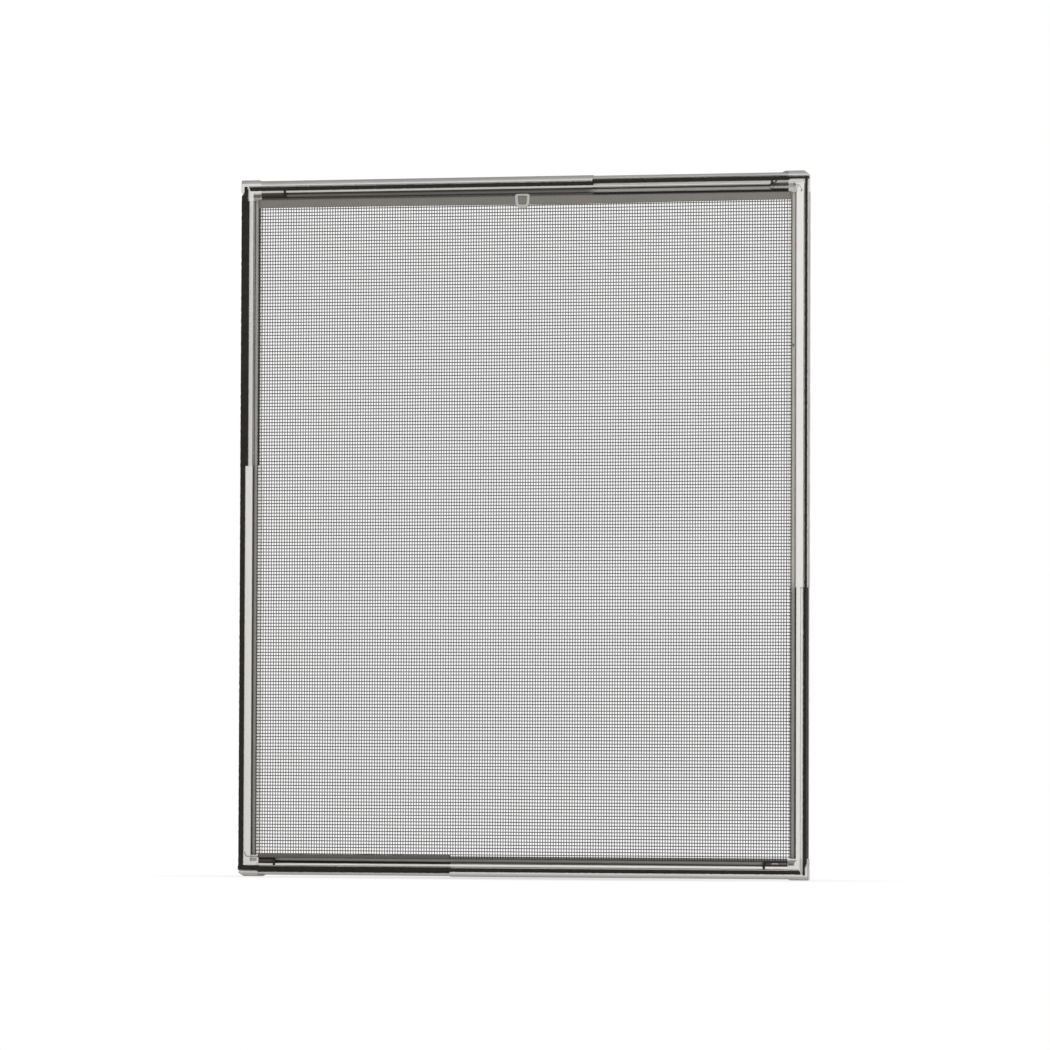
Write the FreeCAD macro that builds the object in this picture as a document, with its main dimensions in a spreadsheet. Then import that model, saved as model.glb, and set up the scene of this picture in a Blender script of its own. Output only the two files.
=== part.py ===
import FreeCAD, Part
import os

import Sketcher

# Telescoping window insect screen, in millimetres, standing upright.
# X runs to the right, the front faces -Y, Z runs up, and the origin is below the middle of the frame.
# Two rails and two stiles are each an outer bar, an inner bar that slides into it, and a pile seal on both.
# Moulded corners plug into the bars, and a spline on each side presses the mesh into its groove.

SIZES = [
    ("frame_width", 582.0, "over the outer bars of the two stiles"),
    ("frame_height", 702.0, "over the caps of the corners"),
    ("bar_depth", 10.0, "front face to back of an outer bar"),
    ("sheet_wall", 0.5, "rolled sheet of every bar"),
    ("slide_gap", 0.1, "between an inner bar and the outer bar round it"),
    ("bend_inside", 0.1, "inner radius of the tightest fold of an inner bar"),
    ("lip_width", 5.5, "sloping lip of a rail, outside its seal"),
    ("lip_round", 2.9, "rounding of that lip"),
    ("seal_groove_width", 4.2, "groove for the seal of an outer rail bar"),
    ("seal_groove_depth", 3.5, "depth of that groove"),
    ("rail_face_room", 0.6, "clear width inside the narrowest fold of a rail's face"),
    ("stile_face_width", 7.9, "front face of an outer stile bar"),
    ("rebate_width", 5.0, "rebate for the seal of an outer stile bar"),
    ("rebate_depth", 3.0, "depth of that rebate"),
    ("inner_lip_trim", 1.1, "lip of an inner rail bar is narrower by this"),
    ("inner_rebate_extra", 2.4, "rebate of an inner stile bar is wider by this"),
    ("spline_groove_width", 5.2, "groove for spline and mesh"),
    ("spline_groove_depth", 5.0, "depth of that groove"),
    ("rim_room", 0.4, "clear width inside the narrowest fold of the rim beside the opening"),
    ("rim_drop", 1.2, "rim lies this far behind the front face"),
    ("rail_sleeve_reach", 363.0, "end of an outer rail bar from the side of the frame"),
    ("stile_sleeve_reach", 413.0, "end of an outer stile bar from the end of the frame"),
    ("slide_overlap", 60.0, "length of an inner bar inside its outer bar"),
    ("cap_rise", 1.0, "corner stands this proud of the rails"),
    ("cap_slope", 3.0, "length of the sloping end of a cap"),
    ("ledge_length", 6.0, "cap ledge that runs on over an inner rail bar"),
    ("ledge_fit", 0.1, "between that ledge and the bar"),
    ("corner_cut_along_rail", 5.5, "cut-off outer corner, along the rail"),
    ("corner_cut_along_stile", 3.8, "cut-off outer corner, along the stile"),
    ("tongue_length", 30.0, "corner tongue inside a bar"),
    ("tongue_fit", 0.25, "between a tongue and the bar round it"),
    ("tongue_lead", 1.5, "bevelled lead of a tongue"),
    ("stop_lip_width", 4.6, "short lip of a corner beside the stile seal"),
    ("stop_lip_length", 13.0, "length of that lip from the end of the frame"),
    ("mitre_tip", 1.4, "narrow end of the stile seal at the mitre"),
    ("mitre_rib", 1.2, "diagonal rib between two seals"),
    ("corner_recess", 1.8, "recess of a corner where two spline grooves meet"),
    ("seal_rise", 2.0, "pile stands this proud of the front face"),
    ("seal_fit", 0.1, "between a seal and each side of its groove"),
    ("seal_base", 0.9, "thickness of the strip that carries the pile"),
    ("pile_inset", 0.3, "pile is narrower than its strip by this on each side"),
    ("spline_diameter", 4.3, "round cord that holds the mesh"),
    ("spline_fit", 0.05, "between the spline and its groove"),
    ("strand_thickness", 0.3, "mesh strand, front to back"),
    ("strand_width", 1.0, "mesh strand, across"),
    ("mesh_gaps", 120.0, "gaps between the strands, each way"),
    ("mesh_tuck", 3.0, "mesh edge pressed into the spline groove"),
    ("hem_height", 7.4, "closed hem of the mesh below the top rail"),
    ("outer_clip_length", 23.0, "lock clip in an outer rail bar"),
    ("inner_clip_length", 18.0, "lock clip in an inner rail bar"),
    ("clip_sink", 1.0, "top of a lock clip below the front face"),
    ("finger_width", 2.4, "finger of a lock clip, along the rail"),
    ("finger_rise", 0.8, "finger of a lock clip, above the face that it crosses"),
    ("tab_width", 15.4, "pull tab, at its root"),
    ("tab_drop", 14.0, "pull tab, from the rim's groove to its end"),
    ("tab_taper", 1.8, "pull tab narrows by this on each side"),
    ("tab_band", 2.5, "ring of the pull tab"),
    ("tab_round", 3.4, "rounded end of the pull tab"),
    ("tab_thickness", 0.7, "sheet of the pull tab"),
    ("tab_clearance", 0.1, "between the pull tab and what it lies against"),
    ("tab_root_thickness", 0.4, "root of the pull tab beside the spline"),
    ("tab_root_depth", 3.0, "root of the pull tab inside the groove"),
]

doc = FreeCAD.newDocument("window_screen")
sheet = doc.addObject("Spreadsheet::Sheet", "sizes")
parts = []


class Size:
    """A length kept as a number, to draw with, and as a sheet expression, to bind with."""

    def __init__(self, number, text):
        self.number = number
        self.text = text

    def join(self, sign, other, number):
        return Size(number, "(%s %s %s)" % (self.text, sign, other.text))

    def __add__(self, other):
        return self.join("+", other, self.number + other.number)

    def __sub__(self, other):
        return self.join("-", other, self.number - other.number)

    def __mul__(self, factor):
        return Size(self.number * factor, "(%s * %s)" % (self.text, factor))

    def __truediv__(self, divisor):
        return Size(self.number / divisor, "(%s / %s)" % (self.text, divisor))

    def over(self, other):
        return self.join("/", other, self.number / other.number)


def fill_sheet():
    """Write the driving dimensions to the sheet and return them by name."""
    named = {}
    for row, (alias, value, meaning) in enumerate(SIZES, start=1):
        sheet.set("A%d" % row, str(value))
        sheet.setAlias("A%d" % row, alias)
        sheet.set("B%d" % row, meaning)
        named[alias] = Size(value, "sizes." + alias)
    doc.recompute()
    return named


size = fill_sheet()
ZERO = Size(0.0, "0")

# Offsets of the nested sheets from the outer face of an outer bar.
wall = size["sheet_wall"]
nest = wall + size["slide_gap"]
deepest = nest + wall

# Bands of a rail's section, from the outer edge of an outer bar towards the opening.
lip_end = size["lip_width"]
seal_end = lip_end + size["seal_groove_width"]
rail_face_end = seal_end + size["rail_face_room"] + deepest * 2
rail_groove_end = rail_face_end + size["spline_groove_width"]
rim_width = size["rim_room"] + deepest * 2
rail_width = rail_groove_end + rim_width
inner_lip_end = lip_end - nest - size["inner_lip_trim"]

# Bands of a stile's section, counted the same way.
rebate_end = size["rebate_width"]
stile_face_end = rebate_end + size["stile_face_width"]
stile_groove_end = stile_face_end + size["spline_groove_width"]
stile_width = stile_groove_end + rim_width
inner_rebate_end = rebate_end + size["inner_rebate_extra"] + nest

# Places in the whole frame.
front = (size["seal_rise"] - size["bar_depth"]) / 2
half_width = size["frame_width"] / 2
corner_along_rail = stile_width
corner_along_stile = size["cap_rise"] + rail_width
open_width = size["frame_width"] - stile_width * 2
open_height = size["frame_height"] - corner_along_stile * 2

RIGHT = FreeCAD.Vector(1, 0, 0)
LEFT = FreeCAD.Vector(-1, 0, 0)
BACK = FreeCAD.Vector(0, 1, 0)
FRONT = FreeCAD.Vector(0, -1, 0)
UP = FreeCAD.Vector(0, 0, 1)
DOWN = FreeCAD.Vector(0, 0, -1)

# Each side has its own frame: first axis into the opening, second to the back, third along the side
# from the corner that holds its outer bar.
RAIL_SIDES = {
    "top": (ZERO - half_width, size["frame_height"] - size["cap_rise"], DOWN),
    "bottom": (half_width, size["cap_rise"], UP),
}
STILE_SIDES = {
    "left": (ZERO - half_width, ZERO, RIGHT),
    "right": (half_width, size["frame_height"], LEFT),
}


def place(item, across, depth, height, first, second):
    """Stand an item at a bound point, turned so that its own X and Y follow two directions."""
    third = first.cross(second)
    turn = FreeCAD.Rotation(first, second, third, "ZXY")
    item.Placement = FreeCAD.Placement(FreeCAD.Vector(0, 0, 0), turn)
    item.setExpression("Placement.Base.x", across.text)
    item.setExpression("Placement.Base.y", depth.text)
    item.setExpression("Placement.Base.z", height.text)


def new_body(label):
    body = doc.addObject("PartDesign::Body", label)
    body.Label = label
    parts.append(body)
    return body


def draw(body, name, loops, level=ZERO, shift=(ZERO, ZERO)):
    """Draw closed outlines on a body's XY plane, each corner bound to the sheet."""
    sketch = body.newObject("Sketcher::SketchObject", name)
    base = [plane for plane in body.Origin.OriginFeatures if plane.Role == "XY_Plane"][0]
    sketch.AttachmentSupport = [(base, "")]
    sketch.MapMode = "FlatFace"
    sketch.setExpression("AttachmentOffset.Base.x", shift[0].text)
    sketch.setExpression("AttachmentOffset.Base.y", shift[1].text)
    sketch.setExpression("AttachmentOffset.Base.z", level.text)
    for corners in loops:
        first = sketch.GeometryCount
        count = len(corners)
        spots = [FreeCAD.Vector(across.number, along.number, 0) for across, along in corners]
        for index in range(count):
            line = Part.LineSegment(spots[index], spots[(index + 1) % count])
            sketch.addGeometry(line, False)
        for index in range(count):
            following = first + (index + 1) % count
            sketch.addConstraint(Sketcher.Constraint("Coincident", first + index, 2, following, 1))
        for index, corner in enumerate(corners):
            for kind, distance in zip(("DistanceX", "DistanceY"), corner):
                rule = Sketcher.Constraint(kind, -1, 1, first + index, 1, distance.number)
                bound = sketch.addConstraint(rule)
                sketch.setExpression("Constraints[%d]" % bound, distance.text)
    return sketch


def pad(body, sketch, length):
    feature = body.newObject("PartDesign::Pad", sketch.Name + "_pad")
    feature.Profile = sketch
    feature.setExpression("Length", length.text)
    doc.recompute()
    return feature


def pocket(body, sketch, depth):
    """Cut from the front, along the body's own Z, and make sure that material was removed."""
    before = body.Shape.Volume
    feature = body.newObject("PartDesign::Pocket", sketch.Name + "_pocket")
    feature.Profile = sketch
    feature.Reversed = True
    feature.setExpression("Length", depth.text)
    doc.recompute()
    if not body.Shape.Volume < before:
        raise RuntimeError("%s removes nothing" % feature.Name)
    return feature


def fillet(body, base, edges, radius, name):
    feature = body.newObject("PartDesign::Fillet", name)
    feature.Base = (base, edges)
    feature.setExpression("Radius", radius.text)
    doc.recompute()
    return feature


TOUCH = 1e-4


def edges_on(shape, fits):
    """Names of the edges whose both ends satisfy a test."""
    names = []
    for index, edge in enumerate(shape.Edges, start=1):
        ends = [edge.Vertexes[0].Point, edge.Vertexes[-1].Point]
        if all(fits(point) for point in ends):
            names.append("Edge%d" % index)
    return names


def near(value, wanted):
    return abs(value - wanted.number) < TOUCH


def box(left, low, right, high):
    return [(left, low), (right, low), (right, high), (left, high)]


def rail_contour(offset, lip):
    """Outline of a rolled rail, a given distance inside the face of an outer bar."""
    low = size["bar_depth"] - offset
    seal_floor = size["seal_groove_depth"] + offset
    spline_floor = size["spline_groove_depth"] + offset
    rim = size["rim_drop"] + offset
    return [
        (offset, low), (offset, offset), (lip, offset), (lip, seal_floor),
        (seal_end + offset, seal_floor), (seal_end + offset, offset),
        (rail_face_end - offset, offset), (rail_face_end - offset, spline_floor),
        (rail_groove_end + offset, spline_floor), (rail_groove_end + offset, rim),
        (rail_width - offset, rim), (rail_width - offset, low),
    ]


def stile_contour(offset, rebate):
    """Outline of a rolled stile, a given distance inside the face of an outer bar."""
    low = size["bar_depth"] - offset
    rebate_floor = size["rebate_depth"] + offset
    spline_floor = size["spline_groove_depth"] + offset
    rim = size["rim_drop"] + offset
    return [
        (offset, low), (offset, rebate_floor), (rebate, rebate_floor), (rebate, offset),
        (stile_face_end - offset, offset), (stile_face_end - offset, spline_floor),
        (stile_groove_end + offset, spline_floor), (stile_groove_end + offset, rim),
        (stile_width - offset, rim), (stile_width - offset, low),
    ]


def stand_on_side(item, side):
    across, height, inward = side
    place(item, across, front, height, inward, BACK)


def round_folds(body, bar, folds, radius, name):
    """Round the folds that run along a bar through the given corners of its section."""
    edges = []
    for across, depth in folds:
        edges += edges_on(bar.Shape, lambda point: near(point.x, across) and near(point.y, depth))
    if len(edges) != len(folds):
        raise RuntimeError("%s finds %d of %d folds" % (name, len(edges), len(folds)))
    return fillet(body, bar, edges, radius, name)


def fold_radius(offset):
    """Radius of an outward fold, a given distance inside the face of an outer bar."""
    return size["bend_inside"] + deepest - offset


def rail_bar(label, side, start, end, offset, lip):
    """Rolled rail with a rounded lip, hollow, between two places along its side."""
    body = new_body(label)
    inside = offset + wall
    contours = [rail_contour(offset, lip), rail_contour(inside, lip - wall)]
    bar = pad(body, draw(body, label + "_section", contours, level=start), end - start)
    for surface, contour, name in zip((offset, inside), contours, ("", "_inside")):
        bar = round_folds(body, bar, contour[1:2], size["lip_round"] - surface, label + "_lip" + name)
        # The end of the lip, both edges of the face and both edges of the rim fold outwards.
        folds = contour[2:3] + contour[5:7] + contour[9:11]
        bar = round_folds(body, bar, folds, fold_radius(surface), label + "_folds" + name)
    stand_on_side(body, side)


def stile_bar(label, side, start, end, offset, rebate):
    """Rolled stile, hollow, between two places along its side."""
    body = new_body(label)
    inside = offset + wall
    contours = [stile_contour(offset, rebate), stile_contour(inside, rebate + wall)]
    bar = pad(body, draw(body, label + "_section", contours, level=start), end - start)
    for surface, contour, name in zip((offset, inside), contours, ("", "_inside")):
        # The edge of the rebate, both edges of the face and both edges of the rim fold outwards.
        folds = contour[1:2] + contour[3:5] + contour[7:9]
        bar = round_folds(body, bar, folds, fold_radius(surface), label + "_folds" + name)
    stand_on_side(body, side)


def seal(label, side, start, end, left, right, floor, narrow=None):
    """Pile seal: a flat strip on the groove's floor and a block of pile that stands proud."""
    body = new_body(label)
    proud = size["seal_rise"]
    foot = proud + floor
    strip_top = foot - size["seal_base"]
    left = left + size["seal_fit"]
    right = right - size["seal_fit"]
    inset = size["pile_inset"]

    def section(name, near_side, level, length):
        outline = [
            (near_side + inset, ZERO), (right - inset, ZERO), (right - inset, strip_top),
            (right, strip_top), (right, foot), (near_side, foot), (near_side, strip_top),
            (near_side + inset, strip_top),
        ]
        sketch = draw(body, label + name, [outline], level=level, shift=(ZERO, ZERO - proud))
        pad(body, sketch, length)

    section("_section", left, start, end - start)
    if narrow:
        narrow_left, narrow_end = narrow
        section("_narrow", narrow_left + size["seal_fit"], end, narrow_end - end)
    stand_on_side(body, side)


def spline(label, side, start, end, groove_start):
    """Round cord on the floor of the spline groove, tight against the groove's outer wall."""
    cord = doc.addObject("Part::Cylinder", label)
    cord.Label = label
    radius = size["spline_diameter"] / 2
    cord.setExpression("Radius", radius.text)
    cord.setExpression("Height", (end - start).text)
    parts.append(cord)
    across, height, inward = side
    along = inward.cross(BACK)
    middle = groove_start + size["spline_fit"] + radius
    depth = front + size["spline_groove_depth"] - radius
    reach = shift_along(across, start, along.x)
    rise = shift_along(height, start, along.z)
    place(cord, shift_along(reach, middle, inward.x), depth, shift_along(rise, middle, inward.z), inward, BACK)


def shift_along(value, distance, sign):
    """A place moved by a distance, forwards, backwards or not at all."""
    if sign > 0:
        return value + distance
    if sign < 0:
        return value - distance
    return value


def lock_clip(label, side, start, end, face, finger_at_end):
    """Clip in the spline groove beside a corner, with a finger across the rail's face."""
    body = new_body(label)
    left = rail_face_end + size["spline_fit"]
    right = left + size["spline_diameter"]
    proud = size["finger_rise"]
    top = proud + size["clip_sink"]
    floor = proud + size["spline_groove_depth"] - face
    shift = (ZERO, face - proud)
    block = box(left, top, right, floor)
    pad(body, draw(body, label + "_block", [block], level=start, shift=shift), end - start)
    finger = [
        (seal_end + face, ZERO), (right, ZERO), (right, floor), (left, floor),
        (left, proud), (seal_end + face, proud),
    ]
    level = start
    if finger_at_end:
        level = end - size["finger_width"]
    pad(body, draw(body, label + "_finger", [finger], level=level, shift=shift), size["finger_width"])
    stand_on_side(body, side)


def rail_side(name, side):
    """Bars, seals, spline and lock clips of the top or the bottom of the frame."""
    end = size["frame_width"] - corner_along_rail
    reach = size["rail_sleeve_reach"]
    rail_bar(name + "_outer_bar", side, corner_along_rail, reach, ZERO, lip_end)
    rail_bar(name + "_inner_bar", side, reach - size["slide_overlap"], end, nest, inner_lip_end)
    seal_start = size["stop_lip_width"] + size["mitre_tip"] + size["mitre_rib"] + mitre_run()
    seal(name + "_outer_seal", side, seal_start, reach, lip_end, seal_end, size["seal_groove_depth"])
    seal(name + "_inner_seal", side, reach + size["seal_fit"], size["frame_width"] - size["seal_fit"],
         inner_lip_end, seal_end + nest, size["seal_groove_depth"] + nest)
    clip_end = corner_along_rail + size["outer_clip_length"]
    clip_start = end - size["inner_clip_length"]
    lock_clip(name + "_outer_lock_clip", side, corner_along_rail, clip_end, ZERO, True)
    lock_clip(name + "_inner_lock_clip", side, clip_start, end, nest, False)
    spline(name + "_spline", side, clip_end, clip_start, rail_face_end)


def stile_side(name, side):
    """Bars, seals and spline of the left or the right of the frame."""
    end = size["frame_height"] - corner_along_stile
    reach = size["stile_sleeve_reach"]
    stile_bar(name + "_outer_bar", side, corner_along_stile, reach, ZERO, rebate_end)
    stile_bar(name + "_inner_bar", side, reach - size["slide_overlap"], end, nest, inner_rebate_end)
    seal_start = size["cap_rise"] + seal_end + nest + size["mitre_rib"]
    seal(name + "_outer_seal", side, seal_start, reach, ZERO, rebate_end, size["rebate_depth"])
    narrow_end = size["frame_height"] - size["cap_rise"] - seal_end
    seal(name + "_inner_seal", side, reach + size["seal_fit"], size["frame_height"] - size["stop_lip_length"],
         nest, inner_rebate_end, size["rebate_depth"] + nest, narrow=(size["stop_lip_width"], narrow_end))
    spline(name + "_spline", side, corner_along_stile, end, stile_face_end)


def mitre_run():
    """How far the mitre runs along the rail while it crosses the rail's seal groove."""
    return inner_rebate_end - size["stop_lip_width"] - size["mitre_tip"]


def cap_outline_square():
    """Footprint of a corner whose cap slopes down to an outer rail bar."""
    return [
        (ZERO, ZERO), (corner_along_rail - size["cap_slope"], ZERO),
        (corner_along_rail, size["cap_rise"]), (corner_along_rail, corner_along_stile),
        (ZERO, corner_along_stile),
    ]


def cap_outline_cut():
    """Footprint of a corner with a cut-off tip and a ledge over an inner rail bar."""
    ledge = size["cap_rise"] + nest - size["ledge_fit"]
    ledge_end = corner_along_rail + size["ledge_length"]
    return [
        (size["corner_cut_along_rail"], ZERO), (ledge_end - size["cap_slope"], ZERO),
        (ledge_end, ledge), (corner_along_rail, ledge),
        (corner_along_rail, corner_along_stile), (ZERO, corner_along_stile),
        (ZERO, size["corner_cut_along_stile"]),
    ]


def square_corner_pockets():
    """Seal channels of a corner between an outer rail bar and an inner stile bar."""
    upper = size["cap_rise"] + lip_end
    lower = size["cap_rise"] + seal_end
    tip = size["stop_lip_width"] + size["mitre_tip"]
    rail_channel = [
        (tip + size["mitre_rib"], upper), (corner_along_rail, upper), (corner_along_rail, lower),
        (inner_rebate_end + size["mitre_rib"], lower),
    ]
    stile_channel = [
        (size["stop_lip_width"], upper), (tip, upper), (inner_rebate_end, lower),
        (inner_rebate_end, corner_along_stile), (ZERO, corner_along_stile),
        (ZERO, size["stop_lip_length"]), (size["stop_lip_width"], size["stop_lip_length"]),
    ]
    return [
        ("rail_channel", rail_channel, size["seal_groove_depth"]),
        ("stile_channel", stile_channel, size["rebate_depth"] + nest),
    ]


def cut_corner_pockets():
    """Seal channels of a corner between an inner rail bar and an outer stile bar."""
    upper = size["cap_rise"] + inner_lip_end
    lower = size["cap_rise"] + seal_end + nest
    rail_channel = box(ZERO, upper, corner_along_rail, lower)
    stile_channel = box(ZERO, lower + size["mitre_rib"], rebate_end, corner_along_stile)
    return [
        ("rail_channel", rail_channel, size["seal_groove_depth"] + nest),
        ("stile_channel", stile_channel, size["rebate_depth"]),
    ]


def corner(label, across, height, inward_x, inward_z, cut):
    """Moulded corner: a capped block with seal channels and a tongue into each of its two bars."""
    body = new_body(label)

    def turned(outline):
        if cut:
            return [(along, sideways) for sideways, along in outline]
        return outline

    outline = cap_outline_cut() if cut else cap_outline_square()
    block = pad(body, draw(body, label + "_block", [turned(outline)]), size["bar_depth"])

    def on_lip(point):
        rail_way = point.y if not cut else point.x
        return near(rail_way, ZERO) and near(point.z, ZERO)

    fillet(body, block, edges_on(block.Shape, on_lip), size["lip_round"], label + "_lip")
    pockets = cut_corner_pockets() if cut else square_corner_pockets()
    recess = box(stile_face_end, size["cap_rise"] + rail_face_end, corner_along_rail, corner_along_stile)
    for name, channel, depth in pockets + [("recess", recess, size["corner_recess"])]:
        pocket(body, draw(body, "%s_%s" % (label, name), [turned(channel)]), depth)
    rail_inside = deepest if cut else wall
    stile_inside = wall if cut else deepest
    fit = size["tongue_fit"]
    rail_gap = rail_inside + fit
    stile_gap = stile_inside + fit
    rail_tongue = tongue(size["cap_rise"] + rail_gap, size["cap_rise"] + rail_face_end - rail_gap, corner_along_rail)
    stile_tongue = tongue(stile_gap, stile_face_end - stile_gap, corner_along_stile)
    rail_tongue = [(along, sideways) for sideways, along in rail_tongue]
    for name, shape, gap, channel_depth in (
        ("rail_tongue", rail_tongue, rail_gap, size["seal_groove_depth"]),
        ("stile_tongue", stile_tongue, stile_gap, size["rebate_depth"]),
    ):
        level = channel_depth + gap
        sketch = draw(body, "%s_%s" % (label, name), [turned(shape)], level=level)
        pad(body, sketch, size["bar_depth"] - gap - level)
    directions = (inward_z, inward_x) if cut else (inward_x, inward_z)
    place(body, across, front, height, directions[0], directions[1])


def tongue(left, right, root):
    """Flat tongue with a bevelled lead, drawn across and then along its bar."""
    lead = size["tongue_lead"]
    tip = root + size["tongue_length"]
    start = root - lead
    return [(left, start), (right, start), (right, tip - lead), (right - lead, tip), (left + lead, tip),
            (left, tip - lead)]


def mesh_layer(label, plate, tucks, first_gap, pitch, along_rail, level):
    """One layer of mesh strands: a thin wall with a row of gaps and two edges turned into the grooves."""
    body = new_body(label)
    thickness = size["strand_thickness"]
    pad(body, draw(body, label + "_wall", [plate]), thickness)
    for index, strip in enumerate(tucks):
        pad(body, draw(body, "%s_tuck_%d" % (label, index), [strip]), thickness + size["mesh_tuck"])
    gap = draw(body, label + "_gap", [first_gap])
    cut = pocket(body, gap, thickness)
    row = body.newObject("PartDesign::LinearPattern", label + "_gaps")
    row.Originals = [cut]
    row.Direction = (gap, ["H_Axis" if along_rail else "V_Axis"])
    row.setExpression("Length", "%s * (%s - 1)" % (pitch.text, size["mesh_gaps"].text))
    row.setExpression("Occurrences", size["mesh_gaps"].text)
    body.Tip = row
    doc.recompute()
    place(body, ZERO - half_width, front + level, size["frame_height"], RIGHT, DOWN)


def mesh():
    """Warp strands in front, tucked into both rails, and weft strands behind, tucked into both stiles."""
    strand = size["strand_width"]
    edge = size["spline_fit"] + size["strand_thickness"]
    open_left = stile_width
    open_right = stile_width + open_width
    open_top = corner_along_stile
    open_bottom = corner_along_stile + open_height
    hem_end = open_top + size["hem_height"]
    warp_top = size["cap_rise"] + rail_groove_end - edge
    warp_bottom = size["frame_height"] - warp_top
    warp_pitch = open_width.over(size["mesh_gaps"])
    warp_gap = box(open_left + strand / 2, hem_end, open_left + warp_pitch - strand / 2, open_bottom)
    warp_tucks = [
        box(open_left, warp_top, open_right, warp_top + size["strand_thickness"]),
        box(open_left, warp_bottom - size["strand_thickness"], open_right, warp_bottom),
    ]
    weft_level = size["rim_drop"] - size["strand_thickness"]
    warp_level = weft_level - size["strand_thickness"]
    mesh_layer("mesh_warp", box(open_left, warp_top, open_right, warp_bottom), warp_tucks,
               warp_gap, warp_pitch, True, warp_level)
    weft_left = stile_groove_end - edge
    weft_right = size["frame_width"] - weft_left
    weft_pitch = (open_bottom - hem_end).over(size["mesh_gaps"])
    weft_gap = box(open_left, hem_end + strand / 2, open_right, hem_end + weft_pitch - strand / 2)
    weft_tucks = [
        box(weft_left, open_top, weft_left + size["strand_thickness"], open_bottom),
        box(weft_right - size["strand_thickness"], open_top, weft_right, open_bottom),
    ]
    mesh_layer("mesh_weft", box(weft_left, open_top, weft_right, open_bottom), weft_tucks,
               weft_gap, weft_pitch, False, weft_level)


def pull_tab():
    """Ring-shaped tab with a rounded end, its root pinched between the top spline and the mesh."""
    body = new_body("pull_tab")
    taper = size["tab_taper"]
    band = size["tab_band"]
    drop = size["tab_drop"]
    full = size["tab_width"]
    outside = [(ZERO, ZERO), (full, ZERO), (full - taper, drop), (taper, drop)]
    inside = [(band, band), (full - band, band), (full - band - taper, drop - band),
              (band + taper, drop - band)]
    ring = pad(body, draw(body, "tab_ring", [outside, inside]), size["tab_thickness"])

    def on_end(point):
        return near(point.y, drop)

    ends = [name for name in edges_on(ring.Shape, on_end) if upright(ring.Shape.getElement(name))]
    fillet(body, ring, ends, size["tab_round"], "tab_end")
    root = size["tab_root_thickness"]
    strip = box(taper, ZERO, full - taper, root)
    pad(body, draw(body, "tab_root", [strip]), size["tab_thickness"] + size["tab_root_depth"])
    root_at = rail_face_end + size["spline_fit"] + size["spline_diameter"] + size["spline_fit"]
    level = size["rim_drop"] - size["strand_thickness"] * 2 - size["tab_clearance"] - size["tab_thickness"]
    place(body, ZERO - full / 2, front + level, size["frame_height"] - size["cap_rise"] - root_at, RIGHT, DOWN)


def upright(edge):
    ends = [vertex.Point for vertex in edge.Vertexes]
    return len(ends) == 2 and abs(ends[0].z - ends[1].z) > TOUCH


def check_and_write():
    """Stop on anything that failed, then write one file for each part."""
    doc.recompute()
    for item in doc.Objects:
        if "Invalid" in item.State or "Error" in item.State:
            raise RuntimeError("%s failed: %s" % (item.Name, item.State))
    for item in parts:
        if item.Shape.isNull() or not item.Shape.isValid() or not item.Shape.Solids:
            raise RuntimeError("%s has no valid solid" % item.Label)
    os.makedirs("parts", exist_ok=True)
    for item in parts:
        item.Shape.exportStep("parts/%s.step" % item.Label)


for side_name, side_frame in RAIL_SIDES.items():
    rail_side(side_name, side_frame)
for side_name, side_frame in STILE_SIDES.items():
    stile_side(side_name, side_frame)
corner("top_left_corner", ZERO - half_width, size["frame_height"], RIGHT, DOWN, False)
corner("bottom_right_corner", half_width, ZERO, LEFT, UP, False)
corner("top_right_corner", half_width, size["frame_height"], LEFT, DOWN, True)
corner("bottom_left_corner", ZERO - half_width, ZERO, RIGHT, UP, True)
mesh()
pull_tab()
check_and_write()
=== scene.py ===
"""Dresses the telescoping window screen: paint, pile seals, splines, woven mesh, pull tab and stage."""
import math
import random

import bmesh
import bpy
from mathutils import Matrix, Vector, noise


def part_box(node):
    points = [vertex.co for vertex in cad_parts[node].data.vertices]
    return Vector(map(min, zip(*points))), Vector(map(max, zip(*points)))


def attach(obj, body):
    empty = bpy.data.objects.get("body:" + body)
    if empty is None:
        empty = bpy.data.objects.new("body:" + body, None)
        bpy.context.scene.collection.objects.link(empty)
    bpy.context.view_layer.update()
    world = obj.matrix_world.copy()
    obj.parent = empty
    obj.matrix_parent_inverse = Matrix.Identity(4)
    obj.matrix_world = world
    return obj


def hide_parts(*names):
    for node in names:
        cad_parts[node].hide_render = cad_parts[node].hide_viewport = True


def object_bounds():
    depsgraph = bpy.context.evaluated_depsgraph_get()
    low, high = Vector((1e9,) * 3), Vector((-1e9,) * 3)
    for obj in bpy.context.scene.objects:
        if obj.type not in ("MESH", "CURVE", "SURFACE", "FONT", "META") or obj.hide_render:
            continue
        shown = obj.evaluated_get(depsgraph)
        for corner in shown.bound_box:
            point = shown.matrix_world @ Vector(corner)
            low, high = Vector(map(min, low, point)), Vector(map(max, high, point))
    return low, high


bl_info = {
    "name": "Telescoping window screen",
    "version": (1, 0, 0),
    "blender": (4, 5, 0),
    "location": "View3D > Sidebar > Screen",
    "description": "Dresses the packed window screen frame with its finishes, seals, mesh and stage",
    "category": "Object",
}

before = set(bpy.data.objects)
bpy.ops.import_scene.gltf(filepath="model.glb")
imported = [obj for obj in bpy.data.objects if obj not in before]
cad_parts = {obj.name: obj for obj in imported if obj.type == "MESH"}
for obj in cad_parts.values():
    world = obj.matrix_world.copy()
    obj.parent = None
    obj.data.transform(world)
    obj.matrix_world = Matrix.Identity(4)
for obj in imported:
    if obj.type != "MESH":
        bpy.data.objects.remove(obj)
CAD_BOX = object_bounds()
BODY = "root"
MM = 0.001

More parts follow.
